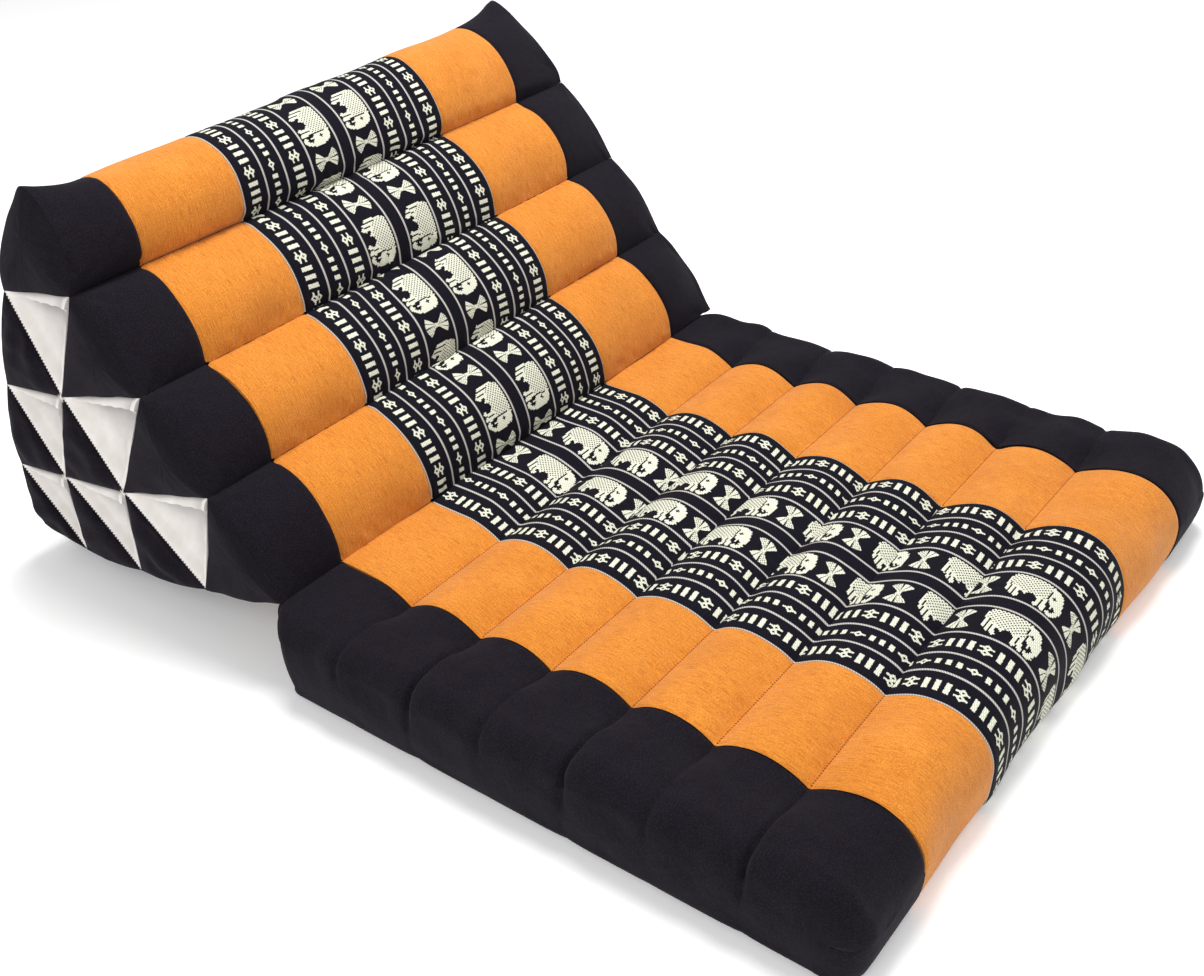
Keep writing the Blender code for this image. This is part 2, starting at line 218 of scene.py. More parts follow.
# Woven figures.  Small ones are drawn by the material; the elephant is charted here, a row of
# the chart for each step along the cloth and a column for each step across it: # is plain figure,
# m is the body with its lattice of dark dots
CELL_ROLL = 0.00151
CELL_TOP = 0.00141
CELL_MAT = 0.00164
MARKS = {".": 0.0, "m": 0.5, "#": 1.0}
ELEPHANT = """
.........##############.....
........########mmmmmmmmm...
.................#mmmmmmmm..
......#########mmmmmmmmmmm..
.....#########mmmmmmmmmmmm..
............#mmmmmmmmmmmmm..
....#########mmmmmmmmmmmmm..
...#########mmmmmmmmmmmmmm..
....###...##mmmmmmmmmmmmmm..
..........#mmmmmmmmmmmmmmm..
.........##mmmmmmmmmmmmmmm..
........###mmmmmmmmmmmmmmm..
..........#mmmmmmmmmmmmmmm..
...........mmmmmmmmmmmmmmm..
...........mmmmmmmmmmmmmmm..
...........mmmmmmmmmmmmmmm..
...........mmmmmmmmmmmmmmm..
..........#mmmmmmmmmmmmmmm..
...##....##mmmmmmmmmmmmmmm..
..##########mmmmmmmmmmmmmm..
...#########mmmmmmmmmmmmmm..
...........#mmmmmmmmmmmmmm..
...#########mmmmmmmmmmmmmm..
..##########mmmmmmmmmmmmm...
..######..............####..
............#############...
...##......######.#######...
..####..########...######...
..###......######.#######...
..####....##############....
...#####.###############....
....###################.....
......###############.......
.........#########..........
"""
ELEPHANT_ROW = 13               # steps from the middle of a bow to the next elephant
FLOWER_REPEAT = 29
FIGURE_REPEAT = 58

# Small woven figures, in steps of the weave from the middle of a figure
LINE_HALF = 0.72
RING_AT = 1.95
RING_REACH = (2.5, 2.95)
RING_HOLE = 0.36
SPIKE = (0.62, 2.4, 4.4)
BARS_AT = (8.5, 14.5)
BAR_REACH = (3.95, 2.2)
BAR_HALF = 1.5
BOW_REACH = 10.0
BOW_SLOPE = 0.74
BOW_WAIST = 1.1
BOW_RIBBON = (0.46, 0.95)
BOW_SECTOR = (0.04, 0.38)
BOW_DOTS = -0.08
DOT_PITCH = 1.3

# Bands of the woven panel across it: kind, columns.  A light line runs between any two
WOVEN_BANDS = (
    ("flowers", 21),
    ("diamonds", 17),
    ("flowers", 21),
    ("elephants", 28),
    ("plain", 11),
    ("elephants", 28),
    ("flowers", 21),
    ("diamonds", 17),
    ("flowers", 21),
)
COLUMNS = sum(width for _, width in WOVEN_BANDS)
BAND_KINDS = {"plain": 0.5, "flowers": 1.0, "diamonds": 2.0, "elephants": 3.0}
STITCHED = 4.0
STITCH_PITCH = 0.0032

# Where the figures fall, in metres along each roll or channel: middle of a bow on the left and on
# the right, middle of a flower on the left and on the right
FIGURES_AT = {
    "roll_1": (0.210, 0.210, 0.193, 0.202),
    "roll_2": (0.0427, 0.0483, 0.0265, 0.0405),
    "roll_3": (0.0833, 0.0873, 0.0220, 0.0372),
    "roll_4": (0.0333, 0.0367, 0.0175, 0.0290),
    "mat_1": (0.0134, 0.0106, 0.0537, 0.0360),
    "mat_2": (0.0898, 0.0850, 0.0410, 0.0721),
    "mat_3": (0.0770, 0.0724, 0.0307, 0.0583),
    "mat_4": (0.0714, 0.0636, 0.0675, 0.0466),
    "mat_5": (0.0583, 0.0512, 0.0540, 0.0336),
    "mat_6": (0.0431, 0.0378, 0.0389, 0.0615),
    "mat_7": (0.0159, 0.0106, 0.0134, 0.0382),
}

# Studio, and the photograph's camera from the near black seam, the hinge seam and its height
FLOOR_HALF = 30.0
FLOOR_GLOW = 0.18
WORLD_LIGHT = 0.55
LAMPS = (
    ("top_light", (0.35, 0.15, 2.6), 1.3, 74.0),
    ("fill_light", (-2.2, -1.0, 2.0), 1.4, 26.0),
)
CAMERA_AT = (SEAMS_X[0] - 0.7861, HINGE_Y - 0.8964, HINGE_Z + 0.8216)
CAMERA_TURN = (57.397, 1.2235, -54.159)
CAMERA_LENS = 44.41
CAMERA_SENSOR = 36.0

CLOTHS = {}                     # the material of each slot, made before the pieces


def ramp(value, start, end):
    """Smooth rise from 0 at start to 1 at end, for numbers and arrays."""
    share = np.clip((value - start) / (end - start), 0.0, 1.0)
    return share * share * (3.0 - 2.0 * share)


def bell(distance, width):
    """Smooth peak of height 1 at distance 0."""
    return np.exp(-(distance / width) ** 2)


def seed_of(name):
    """Random seed of a piece, from its name."""
    return sum(ord(letter) for letter in name)


def lumps(points, form, seed):
    """Soft unevenness over an array of points, with bulges of the given height and size."""
    height, size = form
    rng = np.random.default_rng(seed)
    total = np.zeros(points.shape[:-1])
    waves = 9
    for _ in range(waves):
        direction = rng.normal(size=points.shape[-1])
        direction *= math.tau * rng.uniform(0.6, 1.4) / (2 * size * np.linalg.norm(direction))
        total += np.sin(points @ direction + rng.uniform(0, math.tau))
    return height * (total / math.sqrt(waves))


def pulls(x, other, form, seed):
    """Unevenness of narrow pulls, from X and from a slower measure along the section."""
    return lumps(np.stack(np.broadcast_arrays(x, other), axis=-1), form, seed)


def tucks(x, edges, depth):
    """Depth of the cloth drawn in at a piece's seams."""
    return depth * sum(bell(x - edge, TUCK_WIDTH) for edge in edges)


def fan_folds(across, along, at, reach, folds, seed):
    """Folds of about -1 to 1 that run out from a point of the cloth and fade with distance."""
    rng = np.random.default_rng(seed)
    du, dv = across - at[0], along - at[1]
    away = np.hypot(du, dv)
    angle = np.arctan2(dv, du)
    waves = np.cos(folds * angle + rng.uniform(0, math.tau))
    waves += 0.6 * np.cos(folds * 1.7 * angle + rng.uniform(0, math.tau))
    return waves / 1.6 * bell(away, reach) * (1 - bell(away, 0.25 * reach))


def arc(start, end, swell, steps, away):
    """Points of a circular arc from start to end, swelling away from a third point."""
    start, end, away = (np.array(point, float) for point in (start, end, away))
    chord = end - start
    length = np.linalg.norm(chord)
    along = chord / length
    normal = np.array((-along[1], along[0]))
    if normal @ (away - start) > 0:
        normal = -normal
    share = np.linspace(0.0, 1.0, steps + 1)[:, None]
    if abs(swell) < 1e-6:
        return start + chord * share
    half = length / 2
    radius = (half * half + swell * swell) / (2 * swell)
    angle = math.asin(half / radius) * (2 * share - 1)
    middle = (start + end) / 2 + normal * (swell - radius)
    return middle + radius * (normal * np.cos(angle) + along * np.sin(angle))


def path_lengths(points):
    """Length along an open path up to each of its points."""
    steps = np.linalg.norm(np.diff(points, axis=0), axis=1)
    return np.concatenate(([0.0], np.cumsum(steps)))


def ring_lengths(loop):
    """Length along a closed path up to each of its points, and back to the first."""
    return path_lengths(np.concatenate((loop, loop[:1])))


def resample(points, count):
    """The same open path with its points evenly spaced, count steps long."""
    lengths = path_lengths(points)
    at = np.linspace(0.0, lengths[-1], count + 1)
    return np.stack([np.interp(at, lengths, points[:, axis]) for axis in (0, 1)], axis=1)


def inset(loop, distance):
    """A closed section moved inwards, so that neighbouring pieces stay apart."""
    ahead = np.roll(loop, -1, axis=0) - loop
    ahead /= np.maximum(np.linalg.norm(ahead, axis=1, keepdims=True), 1e-9)
    behind = np.roll(ahead, 1, axis=0)
    turned = np.roll(loop, -1, axis=0)
    area = np.sum(loop[:, 0] * turned[:, 1] - turned[:, 0] * loop[:, 1])
    side = math.copysign(1.0, area)
    bisector = side * np.stack((-ahead[:, 1] - behind[:, 1], ahead[:, 0] + behind[:, 0]), axis=1)
    square = np.maximum(np.sum(bisector * bisector, axis=1, keepdims=True), 0.3)
    return loop + bisector * (2 * distance / square)


def placed(x, section):
    """Section points at x in the part's frame; x is a number or one for each point."""
    points = np.empty((len(section), 3))
    points[:, 0] = x
    points[:, 1] = section[:, 0] + HINGE_Y
    points[:, 2] = section[:, 1] + HINGE_Z
    return points


def spaced(start, end, pitch, edge=0.005):
    """Evenly spaced numbers from start to end, with closer ones in the last few millimetres."""
    sign = 1.0 if end > start else -1.0
    steps = max(int(abs(end - start) / pitch), 2)
    inner = np.linspace(start + sign * edge, end - sign * edge, steps)
    close = np.array((0.0, 0.2, 0.42, 0.68)) * edge * sign
    return np.concatenate((start + close, inner, end - close[::-1]))


def raised(rings, height):
    """A skin of closed rings, (rings, points, 3), with each point moved outwards by its height."""
    across = np.gradient(rings, axis=0)
    along = np.roll(rings, -1, axis=1) - np.roll(rings, 1, axis=1)
    normals = np.cross(across, along)
    normals /= np.maximum(np.linalg.norm(normals, axis=2, keepdims=True), 1e-12)
    if np.sum(normals * (rings - rings.mean(axis=(0, 1)))) < 0:
        normals = -normals
    return rings + normals * height[..., None]


class Skin:
    """Points, faces, cloth coordinates and marks of one closed piece: woven figures, and the painted shade of
    white patches.
    """

    def __init__(self):
        self.count = 0
        self.points, self.corners, self.sizes = [], [], []
        self.coords, self.figures, self.marks = [], [], []

    def add_points(self, points):
        """Adds points and gives their numbers, in the shape of the array."""
        flat = points.reshape(-1, 3)
        index = np.arange(self.count, self.count + len(flat))
        self.points.append(flat)
        self.count += len(flat)
        return index.reshape(points.shape[:-1])

    def add_faces(self, corners, coords, figures=0.0, thread=0.0, kind=0.0, half=0.0):
        """Adds faces of equal size: corner numbers (faces, size) and coordinates (faces, size, 2)."""
        faces, size = corners.shape
        self.corners.append(corners.ravel())
        self.sizes.append(np.full(faces, size))
        self.coords.append(coords.reshape(-1, 2))
        self.figures.append(np.broadcast_to(figures, (faces, size, 2)).reshape(-1, 2))
        self.marks.append(np.stack([np.broadcast_to(mark, faces) for mark in (thread, kind, half)]))

    def add_grid(self, index, coords, figures=None, thread=0.0, kind=0.0, half=0.0):
        """Quads over a grid of point numbers, with coordinates for each grid point."""
        def quads(values):
            parts = (values[:-1, :-1], values[:-1, 1:], values[1:, 1:], values[1:, :-1])
            return np.stack(parts, axis=2).reshape(-1, 4, *values.shape[2:])
        drawn = 0.0 if figures is None else quads(figures)
        self.add_faces(quads(index), quads(coords), drawn, thread, kind, half)

    def add_rings(self, rings, across, along):
        """Adds the points of closed rings; gives their numbers and coordinates, wrapped round."""
        index = self.add_points(rings)
        wrapped = np.concatenate((index, index[:, :1]), axis=1)
        coords = np.empty((*wrapped.shape, 2))
        coords[:, :, 0] = across[:, None]
        coords[:, :, 1] = along[None, :]
        return wrapped, coords

    def add_caps(self, wrapped, coords, tip=None):
        """Closes a skin of rings with flat ends, or with a point at its last end."""
        self.add_faces(wrapped[:1, :-1], coords[:1, :-1])
        if tip is None:
            self.add_faces(wrapped[-1:, :-1], coords[-1:, :-1])
            return
        size = wrapped.shape[1] - 1
        centre = self.add_points(tip)
        corners = np.stack((wrapped[-1, :-1], wrapped[-1, 1:], np.repeat(centre, size)), axis=1)
        middle = np.broadcast_to(coords[-1, :-1].mean(axis=0), (size, 2))
        self.add_faces(corners, np.stack((coords[-1, :-1], coords[-1, 1:], middle), axis=1))


def loft(rings, across, along, tip=None, stitches=None, runs=(), skin=None):
    """Skin over closed rings, with cloth coordinates of rings and points, and runs of woven figures.

    stitches gives the distance of each point from a stitched line.  A run is its name, its steps
    and the size of a step; what follows the runs along a ring is plain.
    """
    skin = skin or Skin()
    wrapped, coords = skin.add_rings(rings, across, along)
    row = 0
    for run, rows, cell in runs:
        add_woven(skin, wrapped, coords, run, row, rows, cell)
        row += rows
    if stitches is None:
        skin.add_grid(wrapped[:, row:], coords[:, row:])
    else:
        drawn = coords.copy()
        drawn[:, :, 1] = np.append(stitches, stitches[0])[None, :]
        skin.add_grid(wrapped, coords, drawn, kind=STITCHED)
    skin.add_caps(wrapped, coords, tip)
    return skin


def linked(name, data):
    """A new object in the scene."""
    made = bpy.data.objects.new(name, data)
    bpy.context.scene.collection.objects.link(made)
    return made


def finish_piece(name, skin, slot, node=None):
    """Makes the object from its skin, with faces outwards, and tells the frame what it is."""
    mesh = bpy.data.meshes.new(name)
    points = np.concatenate(skin.points)
    points[:, 2] = np.maximum(points[:, 2], cad_box[0].z)
    corners = np.concatenate(skin.corners)
    sizes = np.concatenate(skin.sizes)
    mesh.vertices.add(len(points))
    mesh.vertices.foreach_set("co", points.astype(np.float32).ravel())
    mesh.loops.add(len(corners))
    mesh.loops.foreach_set("vertex_index", corners.astype(np.int32))
    mesh.polygons.add(len(sizes))
    starts = np.concatenate(([0], np.cumsum(sizes)[:-1]))
    mesh.polygons.foreach_set("loop_start", starts.astype(np.int32))
    mesh.update(calc_edges=True)
    layers = {"cloth": skin.coords}
    marks = np.concatenate(skin.marks, axis=1)
    if marks[1].any():
        layers["figure"] = skin.figures
    for layer, values in layers.items():
        flat = np.concatenate(values).astype(np.float32).ravel()
        mesh.uv_layers.new(name=layer).data.foreach_set("uv", flat)
    if marks[1].any():
        # thread holds the woven figure marks, and on white patches their painted shade
        for attribute, values in zip(("thread", "band", "half"), marks):
            layer = mesh.attributes.new(attribute, "FLOAT", "FACE")
            layer.data.foreach_set("value", values.astype(np.float32))
    work = bmesh.new()
    work.from_mesh(mesh)
    bmesh.ops.remove_doubles(work, verts=work.verts, dist=1e-6)
    bmesh.ops.recalc_face_normals(work, faces=work.faces)
    work.to_mesh(mesh)
    work.free()
    mesh.shade_smooth()
    mesh.set_sharp_from_angle(angle=math.radians(55))
    mesh.materials.append(CLOTHS[slot])
    piece = linked(name, mesh)
    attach(piece, "root")
    if node:
        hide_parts(node)


class Weave:
    """A cloth material under construction: its node tree and its shader."""

    def __init__(self, name, roughness, specular, sheen, sheen_tint):
        self.material = bpy.data.materials.new(name)
        self.material.use_nodes = True
        self.tree = self.material.node_tree
        self.shader = self.tree.nodes["Principled BSDF"]
        for socket, value in (
            ("Roughness", roughness),
            ("Specular IOR Level", specular),
            ("Sheen Weight", sheen),
            ("Sheen Roughness", 0.5),
            ("Sheen Tint", (*sheen_tint, 1.0)),
        ):
            self.shader.inputs[socket].default_value = value
        self.cloth = self.uv("cloth")

    def node(self, kind, inputs=None, **settings):
        """A new node with its settings, its input values and its links."""
        made = self.tree.nodes.new(kind)
        for key, value in settings.items():
            setattr(made, key, value)
        for key, value in (inputs or {}).items():
            if isinstance(value, bpy.types.NodeSocket):
                self.tree.links.new(value, made.inputs[key])
            else:
                made.inputs[key].default_value = value
        return made

    def uv(self, layer):
        """Coordinates of a layer: metres of cloth, or steps from the middle of a figure."""
        return self.node("ShaderNodeUVMap", uv_map=layer).outputs["UV"]

    def split(self, vector):
        """Both parts of a flat vector."""
        parts = self.node("ShaderNodeSeparateXYZ", {"Vector": vector}).outputs
        return parts["X"], parts["Y"]

    def mark(self, name):
        """A number that each face carries."""
        return self.node("ShaderNodeAttribute", attribute_name=name).outputs["Fac"]

    def noise(self, across, along, detail=2.0, roughness=0.5):
        """Noise from 0 to 1, with features of about the given sizes in metres."""
        scale = (1.0 / across, 1.0 / along, 1.0)
        vector = self.node("ShaderNodeMapping", {"Vector": self.cloth, "Scale": scale}).outputs["Vector"]
        inputs = {"Vector": vector, "Scale": 1.0, "Detail": detail, "Roughness": roughness}
        return self.node("ShaderNodeTexNoise", inputs).outputs["Fac"]

    def waves(self, across, along):
        """Ridges from 0 to 1 across or along the cloth; a pitch of 0 leaves that way plain."""
        total = None
        for part, pitch in zip(self.split(self.cloth), (across, along)):
            if pitch:
                turned = self.maths("MULTIPLY", part, math.tau / pitch)
                total = turned if total is None else self.maths("ADD", total, turned)
        return self.between(self.maths("SINE", total), -1.0, 1.0, 0.0, 1.0)

    def maths(self, operation, first, second=0.0, third=0.0):
        """One arithmetic step on up to three values or sockets."""
        return self.node("ShaderNodeMath", {0: first, 1: second, 2: third}, operation=operation).outputs[0]

    def above(self, value, limit, edge=0.05):
        """0 where a value is under a limit and 1 over it, with a soft edge."""
        return self.between(value, limit - edge, limit + edge, 0.0, 1.0)

    def below(self, value, limit, edge=0.12):
        """1 where a value is under a limit, which may be a socket, and 0 over it."""
        return self.between(self.maths("SUBTRACT", value, limit), -edge, edge, 1.0, 0.0)

    def joined(self, operation, marks):
        """One value from several, taken in turn."""
        total = marks[0]
        for mark in marks[1:]:
            total = self.maths(operation, total, mark)
        return total

    def both(self, *marks):
        """Where all marks hold."""
        return self.joined("MULTIPLY", marks)

    def either(self, *marks):
        """Where any mark holds."""
        return self.joined("MAXIMUM", marks)

    def away(self, value, at=0.0):
        """Distance of a value from a place."""
        return self.maths("ABSOLUTE", self.maths("SUBTRACT", value, at))

    def wrapped(self, value, repeat):
        """A value brought to within half a repeat of 0."""
        return self.maths("WRAP", value, repeat / 2, -repeat / 2)

    def between(self, value, low, high, to_low, to_high):
        """A value moved from one range to another and kept inside it."""
        inputs = {"Value": value, "From Min": low, "From Max": high, "To Min": to_low, "To Max": to_high}
        return self.node("ShaderNodeMapRange", inputs).outputs["Result"]

    def mix(self, share, first, second):
        """Colour from first to second by share."""
        first, second = ((*value, 1.0) if isinstance(value, tuple) else value for value in (first, second))
        return self.node("ShaderNodeMix", {0: share, 6: first, 7: second}, data_type="RGBA").outputs[2]

    def bump(self, height, distance, strength=1.0, below=None):
        """Bump over an earlier bump, with the height in metres at a height value of 1."""
        inputs = {"Height": height, "Distance": distance, "Strength": strength}
        if below is not None:
            inputs["Normal"] = below
        return self.node("ShaderNodeBump", inputs).outputs["Normal"]

    def finish(self, colour, normal):
        """Joins colour and bump to the shader."""
        self.tree.links.new(colour, self.shader.inputs["Base Color"])
        self.tree.links.new(normal, self.shader.inputs["Normal"])
        return self.material


def plain_weave(weave, pitch, depth, crease):
    """Bump of a plain weave over soft creases of the given depth."""
    creases = weave.bump(weave.noise(0.030, 0.022, 3.0, 0.55), crease)
    warp = weave.waves(pitch, 0.0)
    weft = weave.waves(0.0, pitch)
    return weave.bump(weave.maths("MULTIPLY", warp, weft), depth, 0.6, creases)


def stitch_marks(weave, lean, reach, soft, half):
    """Stitches of a half length within reach of a seam, which lean back from it."""
    along, from_seam = weave.split(weave.uv("figure"))
    leaning = weave.maths("MULTIPLY_ADD", from_seam, lean, along)
    return weave.both(
        weave.above(weave.mark("band"), STITCHED - 0.35),
        weave.below(from_seam, reach, soft),
        weave.below(weave.away(weave.wrapped(leaning, STITCH_PITCH)), half, 0.0002),
    )


def orange_cloth():
    """Hand-woven orange cotton with darker slubs along the rolls' way down, stitched on the mat."""
    weave = Weave("orange_cotton", 0.9, 0.1, 0.20, (1.0, 0.86, 0.68))
    slubs = weave.between(weave.noise(0.0009, 0.014, 3.0, 0.75), 0.44, 0.66, 0.0, 0.70)
    flecks = weave.between(weave.noise(0.0010, 0.0018, 3.0, 0.75), 0.44, 0.66, 0.0, 0.75)
    tone = weave.above(weave.noise(0.050, 0.070, 2.0, 0.5), 0.50, 0.25)
    ground = weave.mix(tone, (0.61, 0.216, 0.025), (0.74, 0.278, 0.039))
    colour = weave.mix(slubs, ground, (0.33, 0.086, 0.009))
    colour = weave.mix(flecks, colour, (0.33, 0.088, 0.009))
    stitched = stitch_marks(weave, 0.0, 0.0007, 0.0002, STITCH_PITCH * 0.30)
    colour = weave.mix(stitched, colour, (0.16, 0.040, 0.010))
    return weave.finish(colour, plain_weave(weave, 0.0009, 0.00012, 0.0009))


def black_cloth():
    """Plain cotton of a very dark navy, a little dusty where it is rubbed."""
    weave = Weave("navy_cotton", 0.9, 0.1, 0.035, (0.74, 0.68, 0.82))
    tone = weave.above(weave.noise(0.010, 0.012, 5.0, 0.7), 0.51, 0.21)
    ground = weave.mix(tone, (0.0036, 0.0023, 0.0042), (0.0060, 0.0047, 0.0092))
    lint = weave.between(weave.noise(0.0018, 0.0015, 3.0, 0.75), 0.48, 0.72, 0.0, 0.34)
    colour = weave.mix(lint, ground, (0.040, 0.034, 0.046))
    return weave.finish(colour, plain_weave(weave, 0.0008, 0.00016, 0.0018))


def white_cloth():
    """Unbleached white cotton with painted shade deep in its pocket, overlocked along its slanted seam."""
    weave = Weave("white_cotton", 0.9, 0.2, 0.15, (1.0, 0.97, 0.94))
    tone = weave.above(weave.noise(0.016, 0.022, 3.0, 0.6), 0.50, 0.25)
    colour = weave.mix(tone, (0.72, 0.68, 0.645), (0.84, 0.805, 0.77))
    # painted shade: the thread mark of a white patch darkens it under its top lip and along its front
    colour = weave.mix(weave.mark("thread"), colour, (0.34, 0.32, 0.32))
    overlock = stitch_marks(weave, 0.6, 0.0014, 0.0003, 0.0009)
    colour = weave.mix(overlock, colour, (0.050, 0.016, 0.016))
    return weave.finish(colour, plain_weave(weave, 0.0008, 0.00012, 0.0006))


def ring_figures(weave, u, v, kind):
    """Rings with short spikes and the bars between them: two rings side by side, or one."""
    dv = weave.away(weave.wrapped(v, FLOWER_REPEAT))
    du = weave.away(u)
    beside = weave.away(du, weave.between(kind, 1.0, 2.0, RING_AT, 0.0))
    slanted = weave.maths("ADD", weave.maths("DIVIDE", beside, RING_REACH[0]),
                          weave.maths("DIVIDE", dv, RING_REACH[1]))
    ring = weave.both(weave.below(slanted, 1.05, 0.05), weave.above(slanted, RING_HOLE))
    spike = weave.both(weave.below(beside, SPIKE[0]), weave.below(dv, SPIKE[2]),
                       weave.above(dv, SPIKE[1], 0.1))
    reach = weave.between(kind, 1.0, 2.0, *BAR_REACH)
    nearest = weave.maths("MINIMUM", weave.away(dv, BARS_AT[0]), weave.away(dv, BARS_AT[1]))
    bar = weave.both(weave.below(nearest, BAR_HALF), weave.below(du, reach))
    return weave.both(weave.either(ring, spike, bar), weave.below(kind, 2.25, 0.05), weave.above(kind, 0.75))


def bow_figure(weave, u, v, kind):
    """The bow between elephants: ribbons and sectors that mirror through its middle."""
    dv = weave.wrapped(v, FIGURE_REPEAT)
    du = weave.away(u)
    edge = weave.maths("MULTIPLY_ADD", du, BOW_SLOPE, BOW_WAIST)
    square = weave.maths("ADD", weave.maths("MULTIPLY", u, u), weave.maths("MULTIPLY", dv, dv))
    inside = weave.both(weave.below(weave.away(dv), edge), weave.below(square, BOW_REACH ** 2, 3.0))
    turn = weave.maths("DIVIDE", dv, u)

    def sector(low, high):
        return weave.both(weave.above(turn, low, 0.01), weave.below(turn, high, 0.01))
    ribbon = weave.either(sector(*BOW_RIBBON), sector(*BOW_SECTOR), weave.below(du, BOW_WAIST))
    dots = weave.both(sector(-BOW_RIBBON[1], BOW_DOTS), between_dots(weave, u, v, 1.0))
    return weave.both(inside, weave.either(ribbon, dots), weave.above(kind, 2.75))


def between_dots(weave, u, v, pitch):
    """What is left of a figure between staggered dark dots."""
    turned = [weave.maths("COSINE", weave.maths("MULTIPLY", value, math.pi / pitch)) for value in (u, v)]
    return weave.maths("SUBTRACT", 1.0, weave.above(weave.maths("MULTIPLY", *turned), 0.40, 0.10))


def brocade_cloth():
    """Cream figures floating on a near-black navy ground, with light grey lines between bands."""
    weave = Weave("woven_brocade", 0.85, 0.08, 0.02, (0.9, 0.9, 0.85))
    thread, kind, half = (weave.mark(name) for name in ("thread", "band", "half"))
    drawn = weave.uv("figure")
    x, y = weave.split(drawn)
    ragged = weave.node("ShaderNodeTexNoise", {"Vector": drawn, "Scale": 1.1, "Detail": 1.0}).outputs["Color"]
    offsets = weave.node("ShaderNodeSeparateColor", {"Color": ragged}).outputs
    u = weave.maths("ADD", x, weave.between(offsets["Red"], 0.3, 0.7, -0.28, 0.28))
    v = weave.maths("ADD", y, weave.between(offsets["Green"], 0.3, 0.7, -0.22, 0.22))
    body = weave.both(weave.above(thread, 0.35), weave.below(thread, 0.75, 0.05),
                      between_dots(weave, x, y, DOT_PITCH))
    figure = weave.either(ring_figures(weave, u, v, kind), bow_figure(weave, u, v, kind),
                          weave.above(thread, 0.75), body)
    rim = weave.maths("SUBTRACT", half, weave.away(x))
    line = weave.both(weave.below(rim, LINE_HALF, 0.15), weave.above(kind, 0.35))
    ridge = weave.waves(0.0, CELL_MAT)
    cut = weave.waves(CELL_MAT * 3, CELL_MAT * 1.5)
    specks = weave.between(weave.noise(0.0012, 0.0010, 1.0, 0.5), 0.62, 0.78, 0.0, 0.28)
    ground = weave.mix(specks, (0.0040, 0.0036, 0.0078), (0.070, 0.070, 0.068))
    shade = weave.above(weave.maths("MULTIPLY", ridge, cut), 0.25, 0.25)
    cream = weave.mix(shade, (0.50, 0.50, 0.40), (0.74, 0.75, 0.62))
    pale = weave.mix(weave.waves(CELL_MAT * 1.6, CELL_MAT * 1.6), (0.26, 0.245, 0.23), (0.56, 0.53, 0.50))
    colour = weave.mix(figure, weave.mix(line, ground, pale), cream)
    height = weave.both(weave.either(figure, line), weave.between(ridge, 0.0, 1.0, 0.6, 1.0))
    folds = weave.bump(weave.noise(0.025, 0.020, 3.0, 0.55), 0.0006)
    return weave.finish(colour, weave.bump(height, 0.0003, 0.8, folds))


def elephant_tile():
    """One repeat of an elephant band, from the middle of a bow; the bow is the material's."""
    chart = np.array([[MARKS[mark] for mark in line] for line in ELEPHANT.split()])
    tile = np.zeros((FIGURE_REPEAT, chart.shape[1]))
    tile[ELEPHANT_ROW:ELEPHANT_ROW + len(chart)] = chart
    return tile


def figure_places(run, cell):
    """For each band of a run: the step at which a figure is centred, and the rows' slant."""
    bow_left, bow_right, flower_left, flower_right = (at / cell for at in FIGURES_AT[run])
    widths = np.array([width for _, width in WOVEN_BANDS])
    middles = np.cumsum(widths) - widths / 2
    slant = (bow_right - bow_left) / (middles[5] - middles[3])
    drift = flower_right - flower_left
    expected = slant * (middles[7] - middles[1])
    drift += FLOWER_REPEAT * round((expected - drift) / FLOWER_REPEAT)
    shares = (middles - middles[1]) / (middles[7] - middles[1])
    places = list(flower_left + drift * shares)
    places[3] = bow_left
    places[5] = bow_right
    return places, slant


def add_woven(skin, index, coords, run, first_row, rows, cell):
    """Adds one run of the woven panel: its faces, band by band, with the figures' coordinates."""
    places, slant = figure_places(run, cell)
    column = 0
    for (kind, width), place in zip(WOVEN_BANDS, places):
        u = np.arange(width + 1)[:, None] - width / 2
        figure = np.empty((width + 1, rows + 1, 2))
        figure[..., 0] = u
        figure[..., 1] = np.arange(rows + 1)[None, :] - place - slant * u
        thread = 0.0
        if kind == "elephants":
            across = np.arange(width)[:, None]
            at = np.arange(rows)[None, :] - np.round(place + slant * (across - width / 2)).astype(int)
            thread = elephant_tile()[at % FIGURE_REPEAT, across].ravel()
        block = (slice(column, column + width + 1), slice(first_row, first_row + rows + 1))
        skin.add_grid(index[block], coords[block], figure, thread, BAND_KINDS[kind], width / 2)
        column += width


def inner_bands():
    """The three inner bands: name, slot and the X of both sides."""
    yield "orange_near", "orange", SEAMS_X[0] + GAP / 2, SEAMS_X[1] - GAP / 2
    yield "brocade", "brocade", SEAMS_X[1] + GAP / 2, SEAMS_X[2] - GAP / 2
    yield "orange_far", "orange", SEAMS_X[2] + GAP / 2, SEAMS_X[3] - GAP / 2


def black_ends():
    """The two black ends: side, X of the seam, the way out and the length of a roll's end."""
    yield "near", SEAMS_X[0] - GAP / 2, -1.0, BLACK_NEAR
    yield "far", SEAMS_X[3] + GAP / 2, 1.0, BLACK_FAR


def columns_at(woven, left, right):
    """X of the columns of a band's mesh."""
    return np.linspace(left, right, COLUMNS + 1) if woven else spaced(left, right, PLAIN_PITCH)


def line_drift(points, name, left, right):
    """Sideways wander of the woven lines, none at the panel's seams."""
    x = points[..., 0]
    window = np.minimum(ramp(x, left, left + 0.05), ramp(x, right, right - 0.05))
    return lumps(points[..., 1:], LINE_WANDER, seed_of(name)) * window


def end_draw(section):
    """How far the end face is drawn in at section points."""
    y, z = section[:, 0], section[:, 1]
    foot = ramp(z, *FOOT_DRAW_Z) * ramp(y, *FOOT_DRAW_Y)
    return TOP_DRAW * ramp(z, *TOP_DRAW_Z) + FOOT_DRAW * foot


